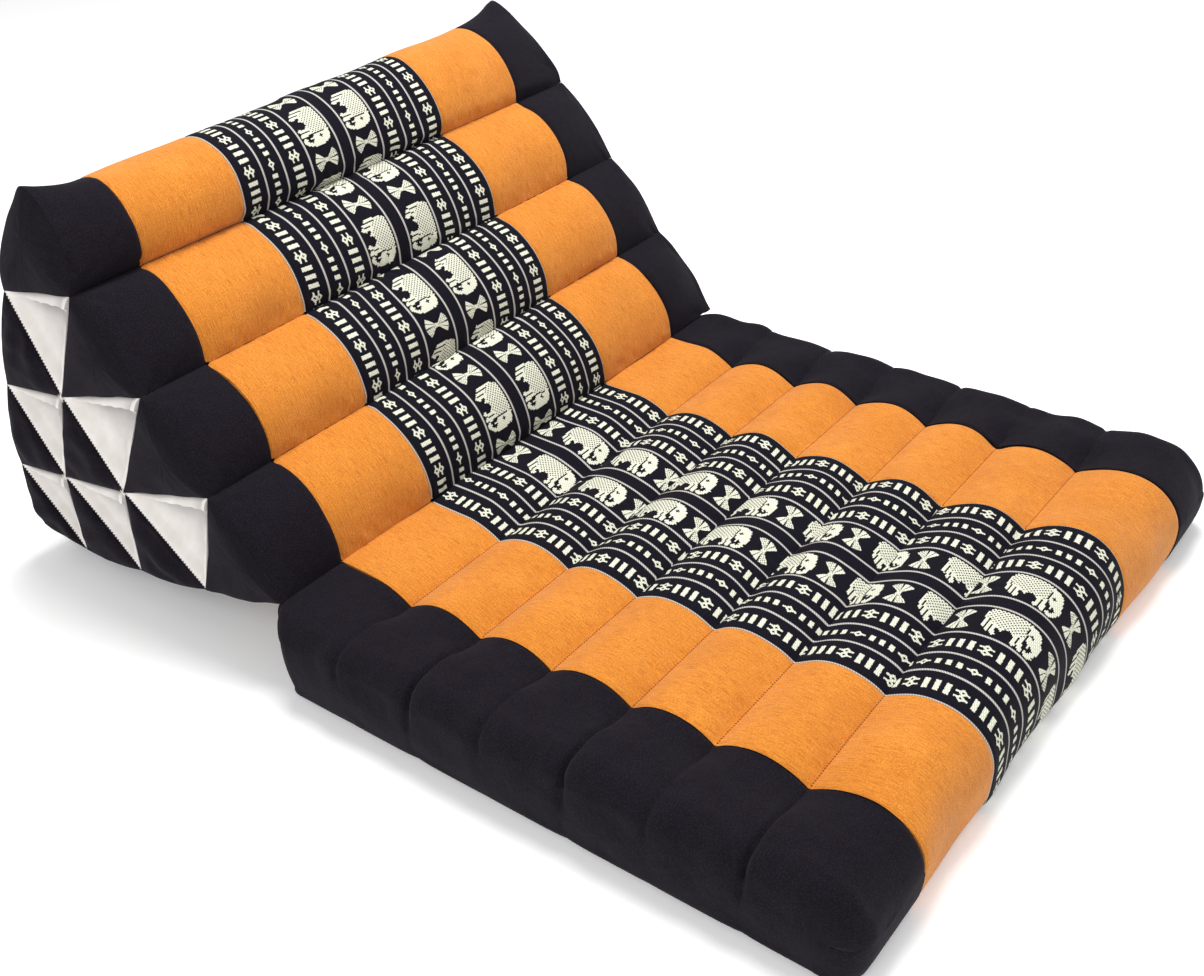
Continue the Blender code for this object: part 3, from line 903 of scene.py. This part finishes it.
def plain_section(corners, swell, steps):
    """A roll's outer arc from its upper to its lower groove, then its hidden sides."""
    upper, inner, lower = (SEAMS[key] for key in corners)
    base_swell = BASE_SWELL if corners[2] == "hinge" else 0.0
    return np.concatenate((
        arc(upper, lower, ROLL_SWELL * swell, steps, inner),
        arc(lower, inner, base_swell, UNDER_STEPS, upper)[1:],
        arc(inner, upper, 0.0, INNER_STEPS, lower)[1:-1],
    ))


def catmull(outline, steps):
    """Smooth curve through the points of an outline."""
    before = np.concatenate((outline[:1], outline[:-2]))
    after = np.concatenate((outline[2:], outline[-1:]))
    share = np.linspace(0, 1, steps, endpoint=False)[None, :, None]
    start, end = outline[:-1, None], outline[1:, None]
    slope_a = (outline[1:] - before)[:, None] / 2
    slope_b = (after - outline[:-1])[:, None] / 2
    s2, s3 = share ** 2, share ** 3
    curve = (start * (2 * s3 - 3 * s2 + 1) + slope_a * (s3 - 2 * s2 + share)
             + end * (3 * s2 - 2 * s3) + slope_b * (s3 - s2))
    return np.concatenate((curve.reshape(-1, 2), outline[-1:]))


def top_section(x, end_share, steps):
    """The top roll's outline from the back over the crest to its groove, then its hidden side."""
    groove = np.array(SEAMS["groove_12"])
    crest_rise = max(point[0][1] for point in CREST) - groove[1]
    lean = TWIST * x / (SEAM_SPAN / 2)
    outline = [groove]
    for middle, end in CREST:
        point = np.array(middle) * (1 - end_share) + np.array(end) * end_share
        height = min((point[1] - groove[1]) / crest_rise, 1.0)
        outline.append(point + np.array((lean * height, 0.0)))
    outline.append(np.array(SEAMS["back_12"]))
    outer = resample(catmull(np.array(outline), 12), steps)[::-1]
    hidden = np.linspace(0, 1, INNER_STEPS + 2)[1:-1, None]
    return np.concatenate((outer, outer[-1] + (outer[0] - outer[-1]) * hidden))


def section_of(name, x, end_share, swell, steps):
    """Closed section of any roll at x, which starts with its outer path."""
    if name == "roll_1":
        return top_section(x, end_share, steps)
    return plain_section(ROLLS[name], swell, steps)


def outer_length(name):
    """Length of the outer path of a roll."""
    steps = 200
    return path_lengths(section_of(name, 0.0, 0.0, 1.0, steps)[:steps + 1])[-1]


def relief(rings, along, length, edges):
    """Height to add over a roll's bands: filling, pulls at the grooves and tucks at the seams."""
    x = rings[..., 0]
    from_groove = np.minimum(along, length - along)[None, :]
    height = lumps(rings, FILLING, 3) * ramp(from_groove, 0.0, 0.012)
    height += pulls(x, from_groove * 0.3, ROLL_PULLS, 5) * bell(from_groove - 0.009, 0.008)
    height -= tucks(x, edges, ROLL_TUCK)
    return height * (along <= length + 1e-9)[None, :]


def make_roll_bands(name):
    """The three inner bands of one roll."""
    length = outer_length(name)
    cell = CELL_TOP if name == "roll_1" else CELL_ROLL
    rows = round(length / cell)
    for band, slot, left, right in inner_bands():
        woven = slot == "brocade"
        steps = rows if woven else round(length / PLAIN_PITCH)
        xs = columns_at(woven, left, right)
        loops = [section_of(name, x, 0.0, 1.0, steps) for x in xs]
        rings = np.array([placed(x, inset(loop, GAP / 2)) for x, loop in zip(xs, loops)])
        along = ring_lengths(loops[-1])
        rings = raised(rings, relief(rings, along[:-1], length, (left, right)))
        if woven:
            rings[1:-1, :rows + 1, 0] += line_drift(rings[1:-1, :rows + 1], name, left, right)
            across = np.arange(COLUMNS + 1) * CELL_MAT
            skin = loft(rings, across, along * (CELL_MAT * rows / length), runs=[(name, rows, cell)])
        else:
            skin = loft(rings, xs, along)
        finish_piece(f"{name}_{band}_cloth", skin, slot, f"{name}_{band}")


def end_relief(rings, across, along, total, length, seed):
    """Height to add over a roll's black end: filling, seam tuck and light puckers at its grooves."""
    from_groove = np.minimum(along, total - along)[None, :]
    u, v = across[:, None], along[None, :]
    on_face = ramp(u, length - 0.012, length)
    height = lumps(rings, END_FILLING, 3) * ramp(from_groove, 0.0, 0.010)
    for turn, at in enumerate(((length, 0.0), (length, total))):
        folds = END_FOLDS[0] * fan_folds(u, v, at, *END_FOLDS[1:], seed + turn)
        height += folds * ramp(from_groove, 0.0, 0.016)
    height *= 1 - on_face
    height -= tucks(u, (0.0,), ROLL_TUCK)
    height *= v <= total + 1e-9
    return height + lumps(rings, FACE_LUMPS, seed) * on_face


def make_roll_ends(name):
    """The two black ends of one roll, each with its domed end face."""
    total = outer_length(name)
    steps = round(total / PLAIN_PITCH)
    for side, seam, out, length in black_ends():
        shares = 1 - (1 - np.linspace(0, 1, 30)) ** 1.5
        shares = np.concatenate((SEAM_SHARES, shares[shares > 0.055]))
        rings, across = [], []
        for share in shares:
            x = seam + out * share * length
            swell = END_SWELL + (1 - END_SWELL) * (1 - share ** 2.6) ** 0.6
            loop = section_of(name, x, share ** EAR_CURVE, swell, steps)
            section = inset(loop, GAP / 2)
            rings.append(placed(seam + out * share * (length - end_draw(section)), section))
            across.append(share * length)
        centre = section.mean(axis=0)
        for scale in np.cos(np.linspace(0, math.pi / 2, 14)[1:-1]):
            shrunk = centre + (section - centre) * scale
            dome = END_DOME * (1 - scale * scale) ** 0.8
            rings.append(placed(seam + out * (length - end_draw(shrunk) + dome), shrunk))
            across.append(length + (1 - scale) * 0.05)
        rings, across = np.array(rings), np.array(across)
        tip = placed(seam + out * (length - end_draw(centre[None]) + END_DOME), centre[None])
        along = ring_lengths(loop)
        height = end_relief(rings, across, along[:-1], total, length, seed_of(name + side))
        skin = loft(raised(rings, height), across * out, along, tip=tip)
        finish_piece(f"{name}_black_{side}_cloth", skin, "black", f"{name}_black_{side}")


def cell_swells(cell, rear_top, front_bottom):
    """Swell of a cell's rear side and of its underside, where these are outer sides."""
    rear = BACK_SWELL if rear_top.startswith("back") else 0.0
    base = BASE_SWELL if front_bottom.startswith("base") and cell != RESTING_CELL else 0.0
    return rear, base


def make_cell(cell, rear_top, front_top, front_bottom, rear_bottom):
    """The filled tube of an inner cell, straight through the backrest."""
    corners = [np.array(SEAMS[key]) for key in (rear_top, front_top, front_bottom, rear_bottom)]
    rear, base = cell_swells(cell, rear_top, front_bottom)
    middle = sum(corners) / 4
    sides = ((0.0, 0), (0.0, 0), (base, BASE_STEPS), (rear, REAR_STEPS))
    section, shown = [], []
    for order, (swell, swollen_steps) in enumerate(sides):
        steps = swollen_steps if swell else HIDDEN_STEPS
        section.append(arc(corners[order], corners[(order + 1) % 4], swell, steps, middle)[:-1])
        shown.append(np.sin(math.pi * np.arange(steps) / steps) * (swell > 0))
    section = inset(np.concatenate(section), GAP / 2)
    shown = np.sqrt(np.concatenate(shown))
    first = SEAMS_X[0] - GAP / 2 - (BLACK_NEAR - PATCH_DEPTH - GAP)
    last = SEAMS_X[3] + GAP / 2 + (BLACK_FAR - PATCH_DEPTH - GAP)
    xs = spaced(first, last, CELL_PITCH if rear or base else HIDDEN_PITCH)
    rings = np.array([placed(x, section) for x in xs])
    height = lumps(rings, CELL_FILLING, 3) * shown
    height += pulls(rings[..., 0], rings[..., 2] * 0.25, CELL_PULLS, 17) * (shown * (1 - shown) * 4)
    skin = loft(raised(rings, height), xs, ring_lengths(section))
    finish_piece(f"cell_{cell}_cloth", skin, "black", f"cell_{cell}")


def outward(start, end, middle):
    """Unit vector square to an edge, pointing away from the middle."""
    along = end - start
    normal = np.array((-along[1], along[0])) / np.linalg.norm(along)
    return -normal if normal @ (middle - start) > 0 else normal


def patch_points(corners, swells, weights):
    """Points of a triangle with two swollen sides, at corner weights (points, 3)."""
    first, second, third = corners
    a, b, c = weights[:, :1], weights[:, 1:2], weights[:, 2:]
    middle = (first + second + third) / 3
    side_12 = outward(first, second, middle) * swells[0]
    side_31 = outward(third, first, middle) * swells[1]
    return first * a + second * b + third * c + side_12 * 4 * a * b + side_31 * 4 * a * c


def black_heights(_, weights, rim, seed):
    """Height of a plump black triangle over its rim."""
    fullness = np.minimum(27 * weights.prod(axis=1), 1.0)
    uneven = lumps(rim, PATCH_LUMPS, seed) * np.minimum(fullness * 3, 1.0)
    return BLACK_PUFF * fullness ** PUFF_CURVE + uneven


def twice_area(corners):
    """Twice the area of a triangle."""
    (ax, ay), (bx, by) = corners[1] - corners[0], corners[2] - corners[0]
    return abs(ax * by - ay * bx)


def white_measures(corners, weights):
    """Distances from a white triangle's top and front edges, and the width of its top lip."""
    a, b, c = weights.T
    rear, front, foot = corners
    from_top = c * twice_area(corners) / np.linalg.norm(front - rear)
    from_front = a * twice_area(corners) / np.linalg.norm(foot - front)
    return from_top, from_front, TOP_LIP[0] * b / np.maximum(a + b, 1e-9) + 0.0004


def white_painted_shade(corners, weights):
    """Painted shade of a white triangle: most just under its puffed top lip and along its front."""
    b = weights[:, 1]
    from_top, from_front, lip = white_measures(corners, weights)
    under = np.exp(-np.maximum(from_top - lip - 0.008, 0) / 0.020) * ramp(from_top, lip + 0.001, lip + 0.004)
    beside = np.exp(-np.maximum(from_front - 0.009, 0) / 0.010) * ramp(from_front, 0.0045, 0.0065)
    return np.clip(0.95 * under * ramp(b, 0.02, 0.35) + 0.50 * beside * ramp(b, 0.0, 0.3), 0.0, 1.0)


def white_heights(corners, weights, rim, seed):
    """Height of a sunk white triangle: a puffed lip on top, a thin one in front, a pocket behind."""
    _, b, c = weights.T
    from_top, from_front, lip = white_measures(corners, weights)
    wavy = FRONT_LIP[0] * (1 + 0.35 * np.sin(c * 17 + seed))
    pocket = ramp(from_top, lip, lip + 0.005) * ramp(from_front, wavy, wavy + 0.006)
    sink = WHITE_SINK * np.minimum(1.0, 1.1 * b ** 0.45) * ramp(b, 0.0, 0.10)
    over_lip = np.clip(from_top / lip, 0.0, 1.0)
    top_lip = TOP_LIP[1] * np.sqrt(over_lip * (2 - over_lip)) * ramp(from_top, lip + 0.002, lip)
    top_lip *= ramp(lip, 0.0, 0.006)
    front_lip = FRONT_LIP[1] * ramp(from_front, wavy + 0.002, wavy) * b
    creases = lumps(rim, POCKET_LUMPS, seed) * pocket * np.minimum(b * 4, 1)
    return top_lip + front_lip + creases - sink * pocket


def make_patch(name, kind, keys, swells, end):
    """A triangular end patch with its filling, from its sewn rim in to the tube."""
    _, seam, out, length = end
    white = kind == "white"
    steps = WHITE_PATCH_STEPS if white else BLACK_PATCH_STEPS
    corners = inset(np.array([END_SEAMS[key] for key in keys]), GAP / 2)
    foot_corners = inset(np.array([SEAMS[key] for key in keys]), WHITE_RECEDE if white else GAP / 2)
    pairs = [(i, j) for i in range(steps + 1) for j in range(steps + 1 - i)]
    at = {pair: order for order, pair in enumerate(pairs)}
    share = np.array(pairs) / steps
    weights = np.clip(np.column_stack((1 - share.sum(axis=1), share)), 0.0, 1.0)
    rim = patch_points(corners, swells, weights)
    form = white_heights if white else black_heights
    heights = form(corners, weights, rim, seed_of(name))
    skin = Skin()
    skin.add_points(placed(seam + out * (length - end_draw(rim) + heights), rim))
    low = [(at[(i, j)], at[(i + 1, j)], at[(i, j + 1)]) for i in range(steps) for j in range(steps - i)]
    high = [(at[(i + 1, j)], at[(i + 1, j + 1)], at[(i, j + 1)])
            for i in range(steps) for j in range(steps - 1 - i)]
    faces = np.array(low + high)
    if white:
        slant = np.linalg.norm(corners[2] - corners[0])
        seam_side = weights[:, (2, 1)] * (slant, twice_area(corners) / slant)
        # painted shade under the top lip and along the front, passed to the material as each face's thread
        # mark
        painted_shade = white_painted_shade(corners, weights[faces].mean(axis=1))
        skin.add_faces(faces, rim[faces], seam_side[faces], painted_shade, STITCHED)
    else:
        skin.add_faces(faces, rim[faces])
    border = [at[(i, 0)] for i in range(steps)]
    border += [at[(steps - i, i)] for i in range(steps)]
    border += [at[(0, steps - i)] for i in range(steps)]
    border = np.array(border)
    foot = patch_points(foot_corners, swells, weights[border])
    base = skin.add_points(placed(seam + out * (length - PATCH_DEPTH), foot))
    coords = np.concatenate((rim, foot))
    here = np.arange(len(border))
    after = np.roll(here, -1)
    rising = rim[border, 1] > rim[border[after], 1]
    top = np.where(rising, here, after)
    bottom = np.where(rising, after, here)
    for wall in ((border[top], border[bottom], base[bottom]), (border[top], base[bottom], base[top])):
        corner_numbers = np.stack(wall, axis=1)
        skin.add_faces(corner_numbers, coords[corner_numbers])
    skin.add_faces(base[None, :], foot[None])
    finish_piece(f"{name}_cloth", skin, kind, name)


def make_patches(cell, rear_top, front_top, front_bottom, rear_bottom):
    """The black and the white triangle at both ends of a cell, split from rear top to front bottom."""
    black = (rear_bottom, rear_top, front_bottom)
    white = (rear_top, front_top, front_bottom)
    for end in black_ends():
        swells = cell_swells(cell, rear_top, front_bottom)
        make_patch(f"patch_{cell}_black_{end[0]}", "black", black, swells, end)
        make_patch(f"patch_{cell}_white_{end[0]}", "white", white, (0.0, 0.0), end)


def make_ties():
    """The small thread crosses that tie the cells together at both ends."""
    turns = np.linspace(0, math.tau, TIE_SIDES, endpoint=False)
    shares = np.sin(np.linspace(-1.45, 1.45, 9))
    around = np.arange(TIE_SIDES + 1) * 0.0005
    for side, seam, out, length in black_ends():
        skin = Skin()
        for key in ("inner_2", "inner_3a", "inner_3b"):
            at = np.array(END_SEAMS[key])
            x = seam + out * (length - end_draw(at[None, :])[0] + TIE_RADIUS)
            for angle in TIE_ANGLES:
                along = np.array((math.cos(angle), math.sin(angle)))
                square = np.array((-along[1], along[0]))
                rings = []
                for share in shares:
                    radius = TIE_RADIUS * math.sqrt(1 - share * share)
                    section = at + along * share * TIE_REACH + square * radius * np.cos(turns)[:, None]
                    rings.append(placed(x + out * radius * np.sin(turns), section))
                loft(np.array(rings), shares * TIE_REACH, around, skin=skin)
        finish_piece(f"ties_{side}_thread", skin, "white")


def channel_points(order, shares):
    """Top line of one channel of the mat: section points and share of a valley at each."""
    stations = (0.0, *VALLEYS)
    start, end = stations[order], VALLEYS[order]
    valley = (2 * shares - 1) ** 2
    z = np.full(len(shares), -CREST_DROP)
    if order == 0:
        first = shares < 0.5
        z[first] += (CREST_DROP - GAP / 2) * valley[first]
        valley = np.where(first, 0.0, valley)
    return np.stack((-(start + (end - start) * shares), z), axis=1), valley


def nose_points(steps):
    """Last channel from its valley over the crest to the foremost line, finely stepped."""
    run = np.linspace(0, 1, steps // 2, endpoint=False)
    y = -(VALLEYS[-1] + (NOSE_START - VALLEYS[-1]) * run)
    flat = np.stack((y, np.full(len(run), -CREST_DROP)), axis=1)
    angle = math.pi / 2 * (1 - np.linspace(0, 1, steps - steps // 2 + 1))
    reach, rise = MAT_LENGTH - NOSE_START, NOSE_DROP - CREST_DROP
    curve = np.stack((-MAT_LENGTH + reach * (1 - np.cos(angle)), -NOSE_DROP + rise * np.sin(angle)), axis=1)
    return np.concatenate((flat, curve)), np.concatenate(((1 - run) ** 2, np.zeros(len(curve))))


def sunk(line, valley):
    """The mat's top line with its stitched valleys sunk to their full depth."""
    return np.stack((line[:, 0], line[:, 1] - (VALLEY_DROP - CREST_DROP) * valley), axis=1)


def mat_top(pitch):
    """Top line of the mat from the hinge to its foremost line, its valley shares, its channels' steps."""
    points, valleys, rows = [], [], []
    fine = np.linspace(0, 1, 200)
    for order in range(len(VALLEYS)):
        lengths = path_lengths(sunk(*channel_points(order, fine)))
        rows.append(round(lengths[-1] / pitch))
        shares = np.interp(np.linspace(0, lengths[-1], rows[-1], endpoint=False), lengths, fine)
        line, valley = channel_points(order, shares)
        points.append(line)
        valleys.append(valley)
    line, valley = nose_points(NOSE_STEPS)
    lengths = path_lengths(sunk(line, valley))
    at = np.linspace(0, lengths[-1], round(lengths[-1] / pitch) + 1)
    points.append(np.stack([np.interp(at, lengths, line[:, axis]) for axis in (0, 1)], axis=1))
    valleys.append(np.interp(at, lengths, valley))
    return np.concatenate(points), np.concatenate(valleys), rows


def mat_foot(y):
    """Underside of the mat below top points: flat, then up the tucked front."""
    tuck = -MAT_LENGTH + NOSE_TUCK
    share = np.clip((tuck - y) / NOSE_TUCK, 0.0, 1.0)
    drop = (-FLOOR - NOSE_DROP) * np.sqrt(np.maximum(1 - share * share, 0.0))
    return np.stack((y, -NOSE_DROP - drop), axis=1)


def front_shaped(x, section):
    """Mat points at x, in the part's frame, with the front's own run and rise."""
    across = np.clip(x / SEAM_SPAN + 0.5, 0.0, 1.0)
    middle = 4 * across * (1 - across)
    y, z = section[:, 0], section[:, 1]
    ahead = ramp(y, -VALLEYS[-1], -MAT_LENGTH)
    reach = FRONT_SKEW * across - FRONT_DRAW * middle
    run = np.clip((y + VALLEYS[-1]) / (VALLEYS[-1] - MAT_LENGTH), 0.0, 1.0)
    rise = FRONT_RISE * middle * ramp(y, -VALLEYS[-2], -VALLEYS[-1]) + FRONT_HUMP * np.sin(math.pi * run)
    return placed(x, np.stack((y - reach * ahead, z + rise * ramp(z, FLOOR, -CREST_DROP)), axis=1))


def mat_relief(rings, valley, count, edges):
    """Height to add over the mat's bands: filling, pulls at the stitched lines, tucks at the seams."""
    x = rings[..., 0]
    shown = np.zeros(rings.shape[1])
    shown[:count] = 1.0
    shown[count - 12:count] *= np.linspace(1, 0, 12)
    height = lumps(rings, FILLING, 7) * (1 - valley)
    near_valley = valley ** 1.5 * (1 - valley ** 6)
    height += pulls(x, rings[..., 1] * 0.25, MAT_PULLS, 11) * near_valley
    return (height - tucks(x, edges, MAT_TUCK)) * shown


def make_mat_bands():
    """The three inner bands of the mat, from the hinge over the front down to the floor."""
    angle = np.linspace(0, math.pi / 2, 200)
    tuck_line = np.stack((-MAT_LENGTH + NOSE_TUCK * (1 - np.cos(angle)),
                          -NOSE_DROP + (FLOOR + NOSE_DROP) * np.sin(angle)), axis=1)
    for band, slot, left, right in inner_bands():
        woven = slot == "brocade"
        pitch = CELL_MAT if woven else PLAIN_PITCH
        top, valley, rows = mat_top(pitch)
        tuck = resample(tuck_line, round(path_lengths(tuck_line)[-1] / pitch))[1:]
        under = np.stack((np.linspace(tuck[-1, 0], 0.0, 12)[1:], np.full(11, FLOOR)), axis=1)
        back = np.stack((np.zeros(3), np.linspace(FLOOR, -GAP / 2, 5)[1:-1]), axis=1)
        loop = np.concatenate((sunk(top, valley), tuck, under, back, [HINGE_LIP]))
        count = len(top) + len(tuck)
        xs = columns_at(woven, left, right)
        rings = np.array([front_shaped(x, loop) for x in xs])
        valley = np.concatenate((valley, np.zeros(len(loop) - len(valley))))
        rings = raised(rings, mat_relief(rings, valley, count, (left, right)))
        if woven:
            rows.append(count - 1 - sum(rows))
            runs = [(f"mat_{order + 1}", steps, CELL_MAT) for order, steps in enumerate(rows)]
            start = 0
            for run, steps, _ in runs:
                block = (slice(1, -1), slice(start, start + steps))
                rings[(*block, 0)] += line_drift(rings[block], run, left, right)
                start += steps
            across, along = (np.arange(size) * CELL_MAT for size in (COLUMNS + 1, len(loop) + 1))
            skin = loft(rings, across, along, runs=runs)
        else:
            along = ring_lengths(loop)
            away = np.min(np.abs(along[:-1, None] - along[np.cumsum(rows)][None, :]), axis=1)
            skin = loft(rings, xs, along, stitches=away)
        finish_piece(f"mat_{band}_cloth", skin, slot, f"mat_{band}")


def rounded(share):
    """How far a quarter circle has dropped at a share of its width."""
    return 1 - np.sqrt(1 - share * share)


def border_valley(share):
    """Share of a valley's depth left across the mat's black border."""
    return 1 - 0.80 * ramp(share, 0.10, 0.55) - 0.08 * ramp(share, 0.80, 1.0)


def side_creases(y, profile_at, on_top, on_side, run):
    """The channel seams over the edge and down the side, long and short by turns."""
    total = np.zeros((len(y), len(profile_at)))
    line = np.where(on_top, ramp(profile_at, 0.15, 0.4), 0.0)
    for order, at in enumerate(VALLEYS):
        reach, depth, line_depth = LONG_CREASE if order % 2 == 1 else SHORT_CREASE
        fade = np.where(on_top, ramp(profile_at, 0.60, 0.92), 0.0)
        fade = np.where(on_side, 1 - ramp(run, reach * 0.4, reach), fade)
        away = np.abs(y[:, None] + at)
        total -= depth * bell(away, 0.0034 + 0.003 * run) * fade
        total -= line_depth * bell(away, 0.0024) * line
        total += 0.0005 * bell(away - 0.013, 0.010) * fade
    return total


def border_relief(rings, y, profile_at, wall, side):
    """Height to add over a black side of the mat: filling, swell, creases, corner seam and tuck."""
    order = np.arange(len(profile_at))
    steps_on_top = np.argmax(profile_at == 1.0) + 1
    on_top = order < steps_on_top
    on_side = ~on_top & (order < steps_on_top + SIDE_STEPS - 1)
    run = np.clip((order - steps_on_top + 1) / SIDE_STEPS, 0, 1)
    shown = np.where(on_top, 1.0, np.where(on_side, np.sqrt(1 - run), 0.0))
    height = lumps(rings, FILLING, 7) * shown * ramp(profile_at, 0.0, 0.05)
    height += lumps(rings, BORDER_LUMPS, 23) * shown * ramp(profile_at, 0.3, 0.8)
    height += SIDE_SWELL * np.sin(math.pi * run) * on_side * ramp(wall, 0.0, 0.05)
    height += side_creases(y, profile_at, on_top, on_side, run) * CREASE_SHARE[side]
    from_edge = np.where(on_side, np.minimum(run, 1 - run) * wall, (1 - profile_at) * BLACK_MAT)
    at_front = ramp(y, CORNER_AT - MAT_LENGTH, -MAT_LENGTH)[:, None]
    height += CORNER_SEAM * bell(from_edge, 0.0060) * at_front
    height -= tucks(profile_at * BLACK_MAT, (0.0,), MAT_TUCK) * on_top
    return height * ramp(wall, 0.0, 0.006) * ramp(-y, 0.0, 0.006)[:, None]


def make_mat_border(side, seam, out):
    """One black side of the mat: its top, its rounded edge, its side and its flat underside."""
    top, valley, _ = mat_top(BORDER_PITCH)
    top = np.concatenate(([HINGE_LIP], top))
    valley = np.concatenate(([0.0], valley))
    y, z = top[:, 0], top[:, 1]
    centre = (FLOOR - CREST_DROP) / 2
    ahead = ramp(y, CORNER_RUN - MAT_LENGTH, -MAT_LENGTH)
    back = ramp(y, -CORNER_RUN, 0.0)
    low = mat_foot(y)
    down = np.clip((centre - low[:, 1]) / (centre - FLOOR), 0.0, 1.0)
    nearest = np.argmin(np.abs(y[:, None] + np.array(VALLEYS)), axis=1)
    drawn = np.where(nearest % 2 == 1, 0.0015, 0.0004) * valley ** 2
    drawn += CORNER_PLAN * rounded(np.clip(1 + y / CORNER_PLAN, 0.0, 1.0))

    def row_at(share, on_top):
        rounding = rounded(np.clip((share - 0.76) / 0.24, 0.0, 1.0))
        shift = TOP_ROUND * rounding * (ahead - 0.3 * back)
        if on_top:
            height = z - (VALLEY_DROP - CREST_DROP) * valley * border_valley(share)
            up = np.clip((height - centre) / (-CREST_DROP - centre), 0.0, 1.0)
            section = np.stack((y + shift, height - TOP_ROUND * rounding * up), axis=1)
            pull = drawn
        else:
            section = np.stack((low[:, 0] + shift, low[:, 1] + FOOT_ROUND * rounding * down), axis=1)
            pull = drawn + FOOT_SLANT * down * (1 + y / MAT_LENGTH)
        return front_shaped(seam + out * (share * (BLACK_MAT - GAP / 2) - share ** 4 * pull), section)

    shares = np.concatenate((
        SEAM_SHARES, np.linspace(0.06, 0.70, 20), np.linspace(0.72, 0.97, 14), (0.985, 0.995, 1.0),
    ))
    foot_shares = np.array((1.0, 0.97, 0.93, 0.88, 0.80, 0.70, 0.5, 0.25, 0.0))
    upper, lower = row_at(1.0, True), row_at(1.0, False)
    rows = [row_at(share, True) for share in shares]
    rows += [upper + (lower - upper) * step / SIDE_STEPS for step in range(1, SIDE_STEPS)]
    rows += [row_at(share, False) for share in foot_shares]
    rings = np.stack(rows, axis=1)
    profile_at = np.concatenate((shares, np.ones(SIDE_STEPS - 1), foot_shares))
    wall = np.linalg.norm(upper - lower, axis=1)[:, None]
    rings = raised(rings, border_relief(rings, y, profile_at, wall, side))
    rings[..., 2] = np.maximum(rings[..., 2], HINGE_Z + FLOOR)
    around = path_lengths(rings[len(rings) // 2])
    around = np.append(around, around[-1] + HINGE_Z)
    skin = Skin()
    wrapped, coords = skin.add_rings(rings, path_lengths(top), around * out)
    coords = coords[..., ::-1]
    skin.add_grid(wrapped, coords)
    skin.add_faces(wrapped[:1, :-1], coords[:1, :-1])
    finish_piece(f"mat_black_{side}_cloth", skin, "black", f"mat_black_{side}")


def make_floor():
    """Pale floor under the cushion."""
    level = cad_box[0].z - 0.0002
    corners = [(x * FLOOR_HALF, y * FLOOR_HALF, level) for x, y in ((-1, -1), (1, -1), (1, 1), (-1, 1))]
    mesh = bpy.data.meshes.new("floor")
    mesh.from_pydata(corners, [], [(0, 1, 2, 3)])
    material = bpy.data.materials.new("pale_floor")
    material.use_nodes = True
    inputs = material.node_tree.nodes["Principled BSDF"].inputs
    inputs["Base Color"].default_value = (0.92, 0.92, 0.92, 1.0)
    inputs["Roughness"].default_value = 0.9
    inputs["Emission Color"].default_value = (1.0, 1.0, 1.0, 1.0)
    inputs["Emission Strength"].default_value = FLOOR_GLOW
    mesh.materials.append(material)
    floor = linked("floor", mesh)


def make_lights():
    """Soft studio light: a bright surround and large lamps above."""
    world = bpy.data.worlds.new("studio")
    bpy.context.scene.world = world
    world.use_nodes = True
    background = world.node_tree.nodes["Background"]
    background.inputs["Color"].default_value = (1.0, 1.0, 1.0, 1.0)
    background.inputs["Strength"].default_value = WORLD_LIGHT
    for name, at, size, power in LAMPS:
        lamp = bpy.data.lights.new(name, "AREA")
        lamp.shape = "DISK"
        lamp.size = size
        lamp.energy = power
        holder = linked(name, lamp)
        holder.location = at
        towards = np.array((0.0, 0.0, 0.15)) - np.array(at)
        tilt = math.atan2(math.hypot(towards[0], towards[1]), -towards[2])
        holder.rotation_euler = (tilt, 0.0, math.atan2(towards[1], towards[0]) - math.pi / 2)


def make_camera():
    """Camera at the photograph's viewing angle."""
    data = bpy.data.cameras.new("photo_camera")
    data.sensor_width = CAMERA_SENSOR
    data.lens = CAMERA_LENS
    camera = linked("photo_camera", data)
    camera.location = CAMERA_AT
    camera.rotation_euler = tuple(math.radians(angle) for angle in CAMERA_TURN)
    bpy.context.scene.camera = camera


def main():
    """Builds the cushion's looks and its plain studio."""
    CLOTHS["orange"] = orange_cloth()
    CLOTHS["black"] = black_cloth()
    CLOTHS["white"] = white_cloth()
    CLOTHS["brocade"] = brocade_cloth()
    for name in ("roll_1", *ROLLS):
        make_roll_bands(name)
        make_roll_ends(name)
    for row in CELLS:
        make_cell(*row)
        make_patches(*row)
    make_ties()
    make_mat_bands()
    for side, seam, out, _ in black_ends():
        make_mat_border(side, seam, out)
    make_floor()
    make_lights()
    make_camera()
    bpy.context.scene.view_settings.view_transform = "Standard"


main()
